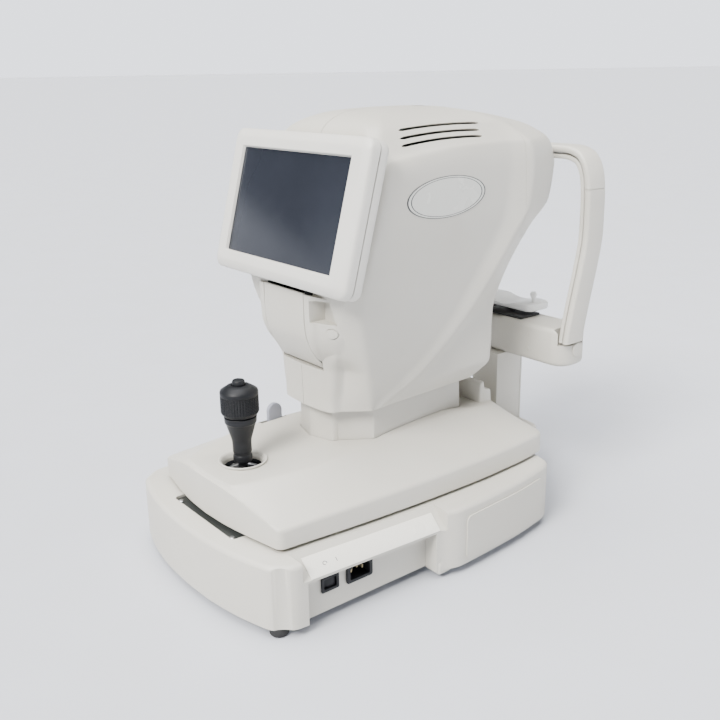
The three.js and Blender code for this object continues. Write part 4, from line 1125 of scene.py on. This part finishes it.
# ------------------------------------------------------------------ stage set, light and camera
FLOOR_COLOUR = (0.52, 0.535, 0.575)
SKY = (0.06, 0.062, 0.066)  # the tent overhead
HORIZON = (0.80, 0.83, 0.90)  # its bright wall behind the table
TENT_STRENGTH = 2.6
FLOOR_SIDES = 96
FLOOR_RADII = (10, 400, 1500, 6000, 40000, 400000)
LENS = 45.19
SENSOR = 36.0
AZIMUTH, ELEVATION, ROLL = math.radians(51.76), math.radians(17.81), math.radians(-0.95)
CAMERA_PLACE = (0.7466, -0.6075, 0.5049)  # metres, in the row frame


def make_studio():
    angles = [2 * math.pi * k / FLOOR_SIDES for k in range(FLOOR_SIDES)]
    points = [(r * math.cos(a), r * math.sin(a), 0) for r in FLOOR_RADII for a in angles]
    faces = skin_faces(len(FLOOR_RADII), FLOOR_SIDES) + [tuple(range(FLOOR_SIDES))]
    floor = mesh_from("floor", points, faces)
    floor.data.materials.append(moulded("floor_paper", FLOOR_COLOUR, 0.7, 0.02, 0.008, 300.0, shine=0.2))

    world = bpy.data.worlds.new("studio")
    bpy.context.scene.world = world
    world.use_nodes = True
    nodes, links = world.node_tree.nodes, world.node_tree.links
    split = nodes.new("ShaderNodeSeparateXYZ")
    links.new(nodes.new("ShaderNodeTexCoord").outputs["Generated"], split.inputs["Vector"])
    tent = ramp(nodes, links, split.outputs["Z"], 0.07, 0.22, HORIZON, SKY)
    links.new(tent, nodes["Background"].inputs["Color"])
    settings(nodes["Background"], {"Strength": TENT_STRENGTH})

    def lamp(name, kind, place, target, power, colour=(1, 1, 1)):
        light = bpy.data.lights.new(name, kind)
        light.energy = power
        light.color = colour
        made = bpy.data.objects.new(name, light)
        made.location = place
        made.rotation_euler = (Vector(target) - Vector(place)).to_track_quat("-Z", "Y").to_euler()
        bpy.context.scene.collection.objects.link(made)
        return light

    lamp("tent_top", "SUN", (-0.1, -0.25, 2.0), (0, 0, 0), 6.6, (0.98, 0.985, 1)).angle = math.radians(60)
    lamp("key", "SUN", (0.35, -1.3, 1.25), (0, 0, 0), 6.4, (1, 0.985, 0.96)).angle = math.radians(24)
    rear = lamp("rear_softbox", "AREA", (1.5, 1.6, 1.0), (0, 0, 0.3), 16, (0.97, 0.98, 1))
    rear.size = 1.2


def make_camera():
    data = bpy.data.cameras.new("camera")
    data.sensor_width = SENSOR
    data.lens = LENS
    data.clip_start, data.clip_end = 0.01, 200
    camera = bpy.data.objects.new("camera", data)
    level = math.cos(ELEVATION)
    back = Vector((math.sin(AZIMUTH) * level, -math.cos(AZIMUTH) * level, math.sin(ELEVATION)))
    right = UP.cross(back).normalized()
    up = back.cross(right)
    across = right * math.cos(ROLL) + up * math.sin(ROLL)
    camera_up = up * math.cos(ROLL) - right * math.sin(ROLL)
    rows = [(*axes, place) for *axes, place in zip(across, camera_up, back, CAMERA_PLACE)]
    camera.matrix_world = Matrix((*rows, (0, 0, 0, 1)))
    bpy.context.scene.collection.objects.link(camera)
    bpy.context.scene.camera = camera


make_camera()
make_studio()
make_base()
make_stage()
make_joystick()
make_head()
make_screen()
make_printer()
make_chinrest()
dress_cad_nodes()
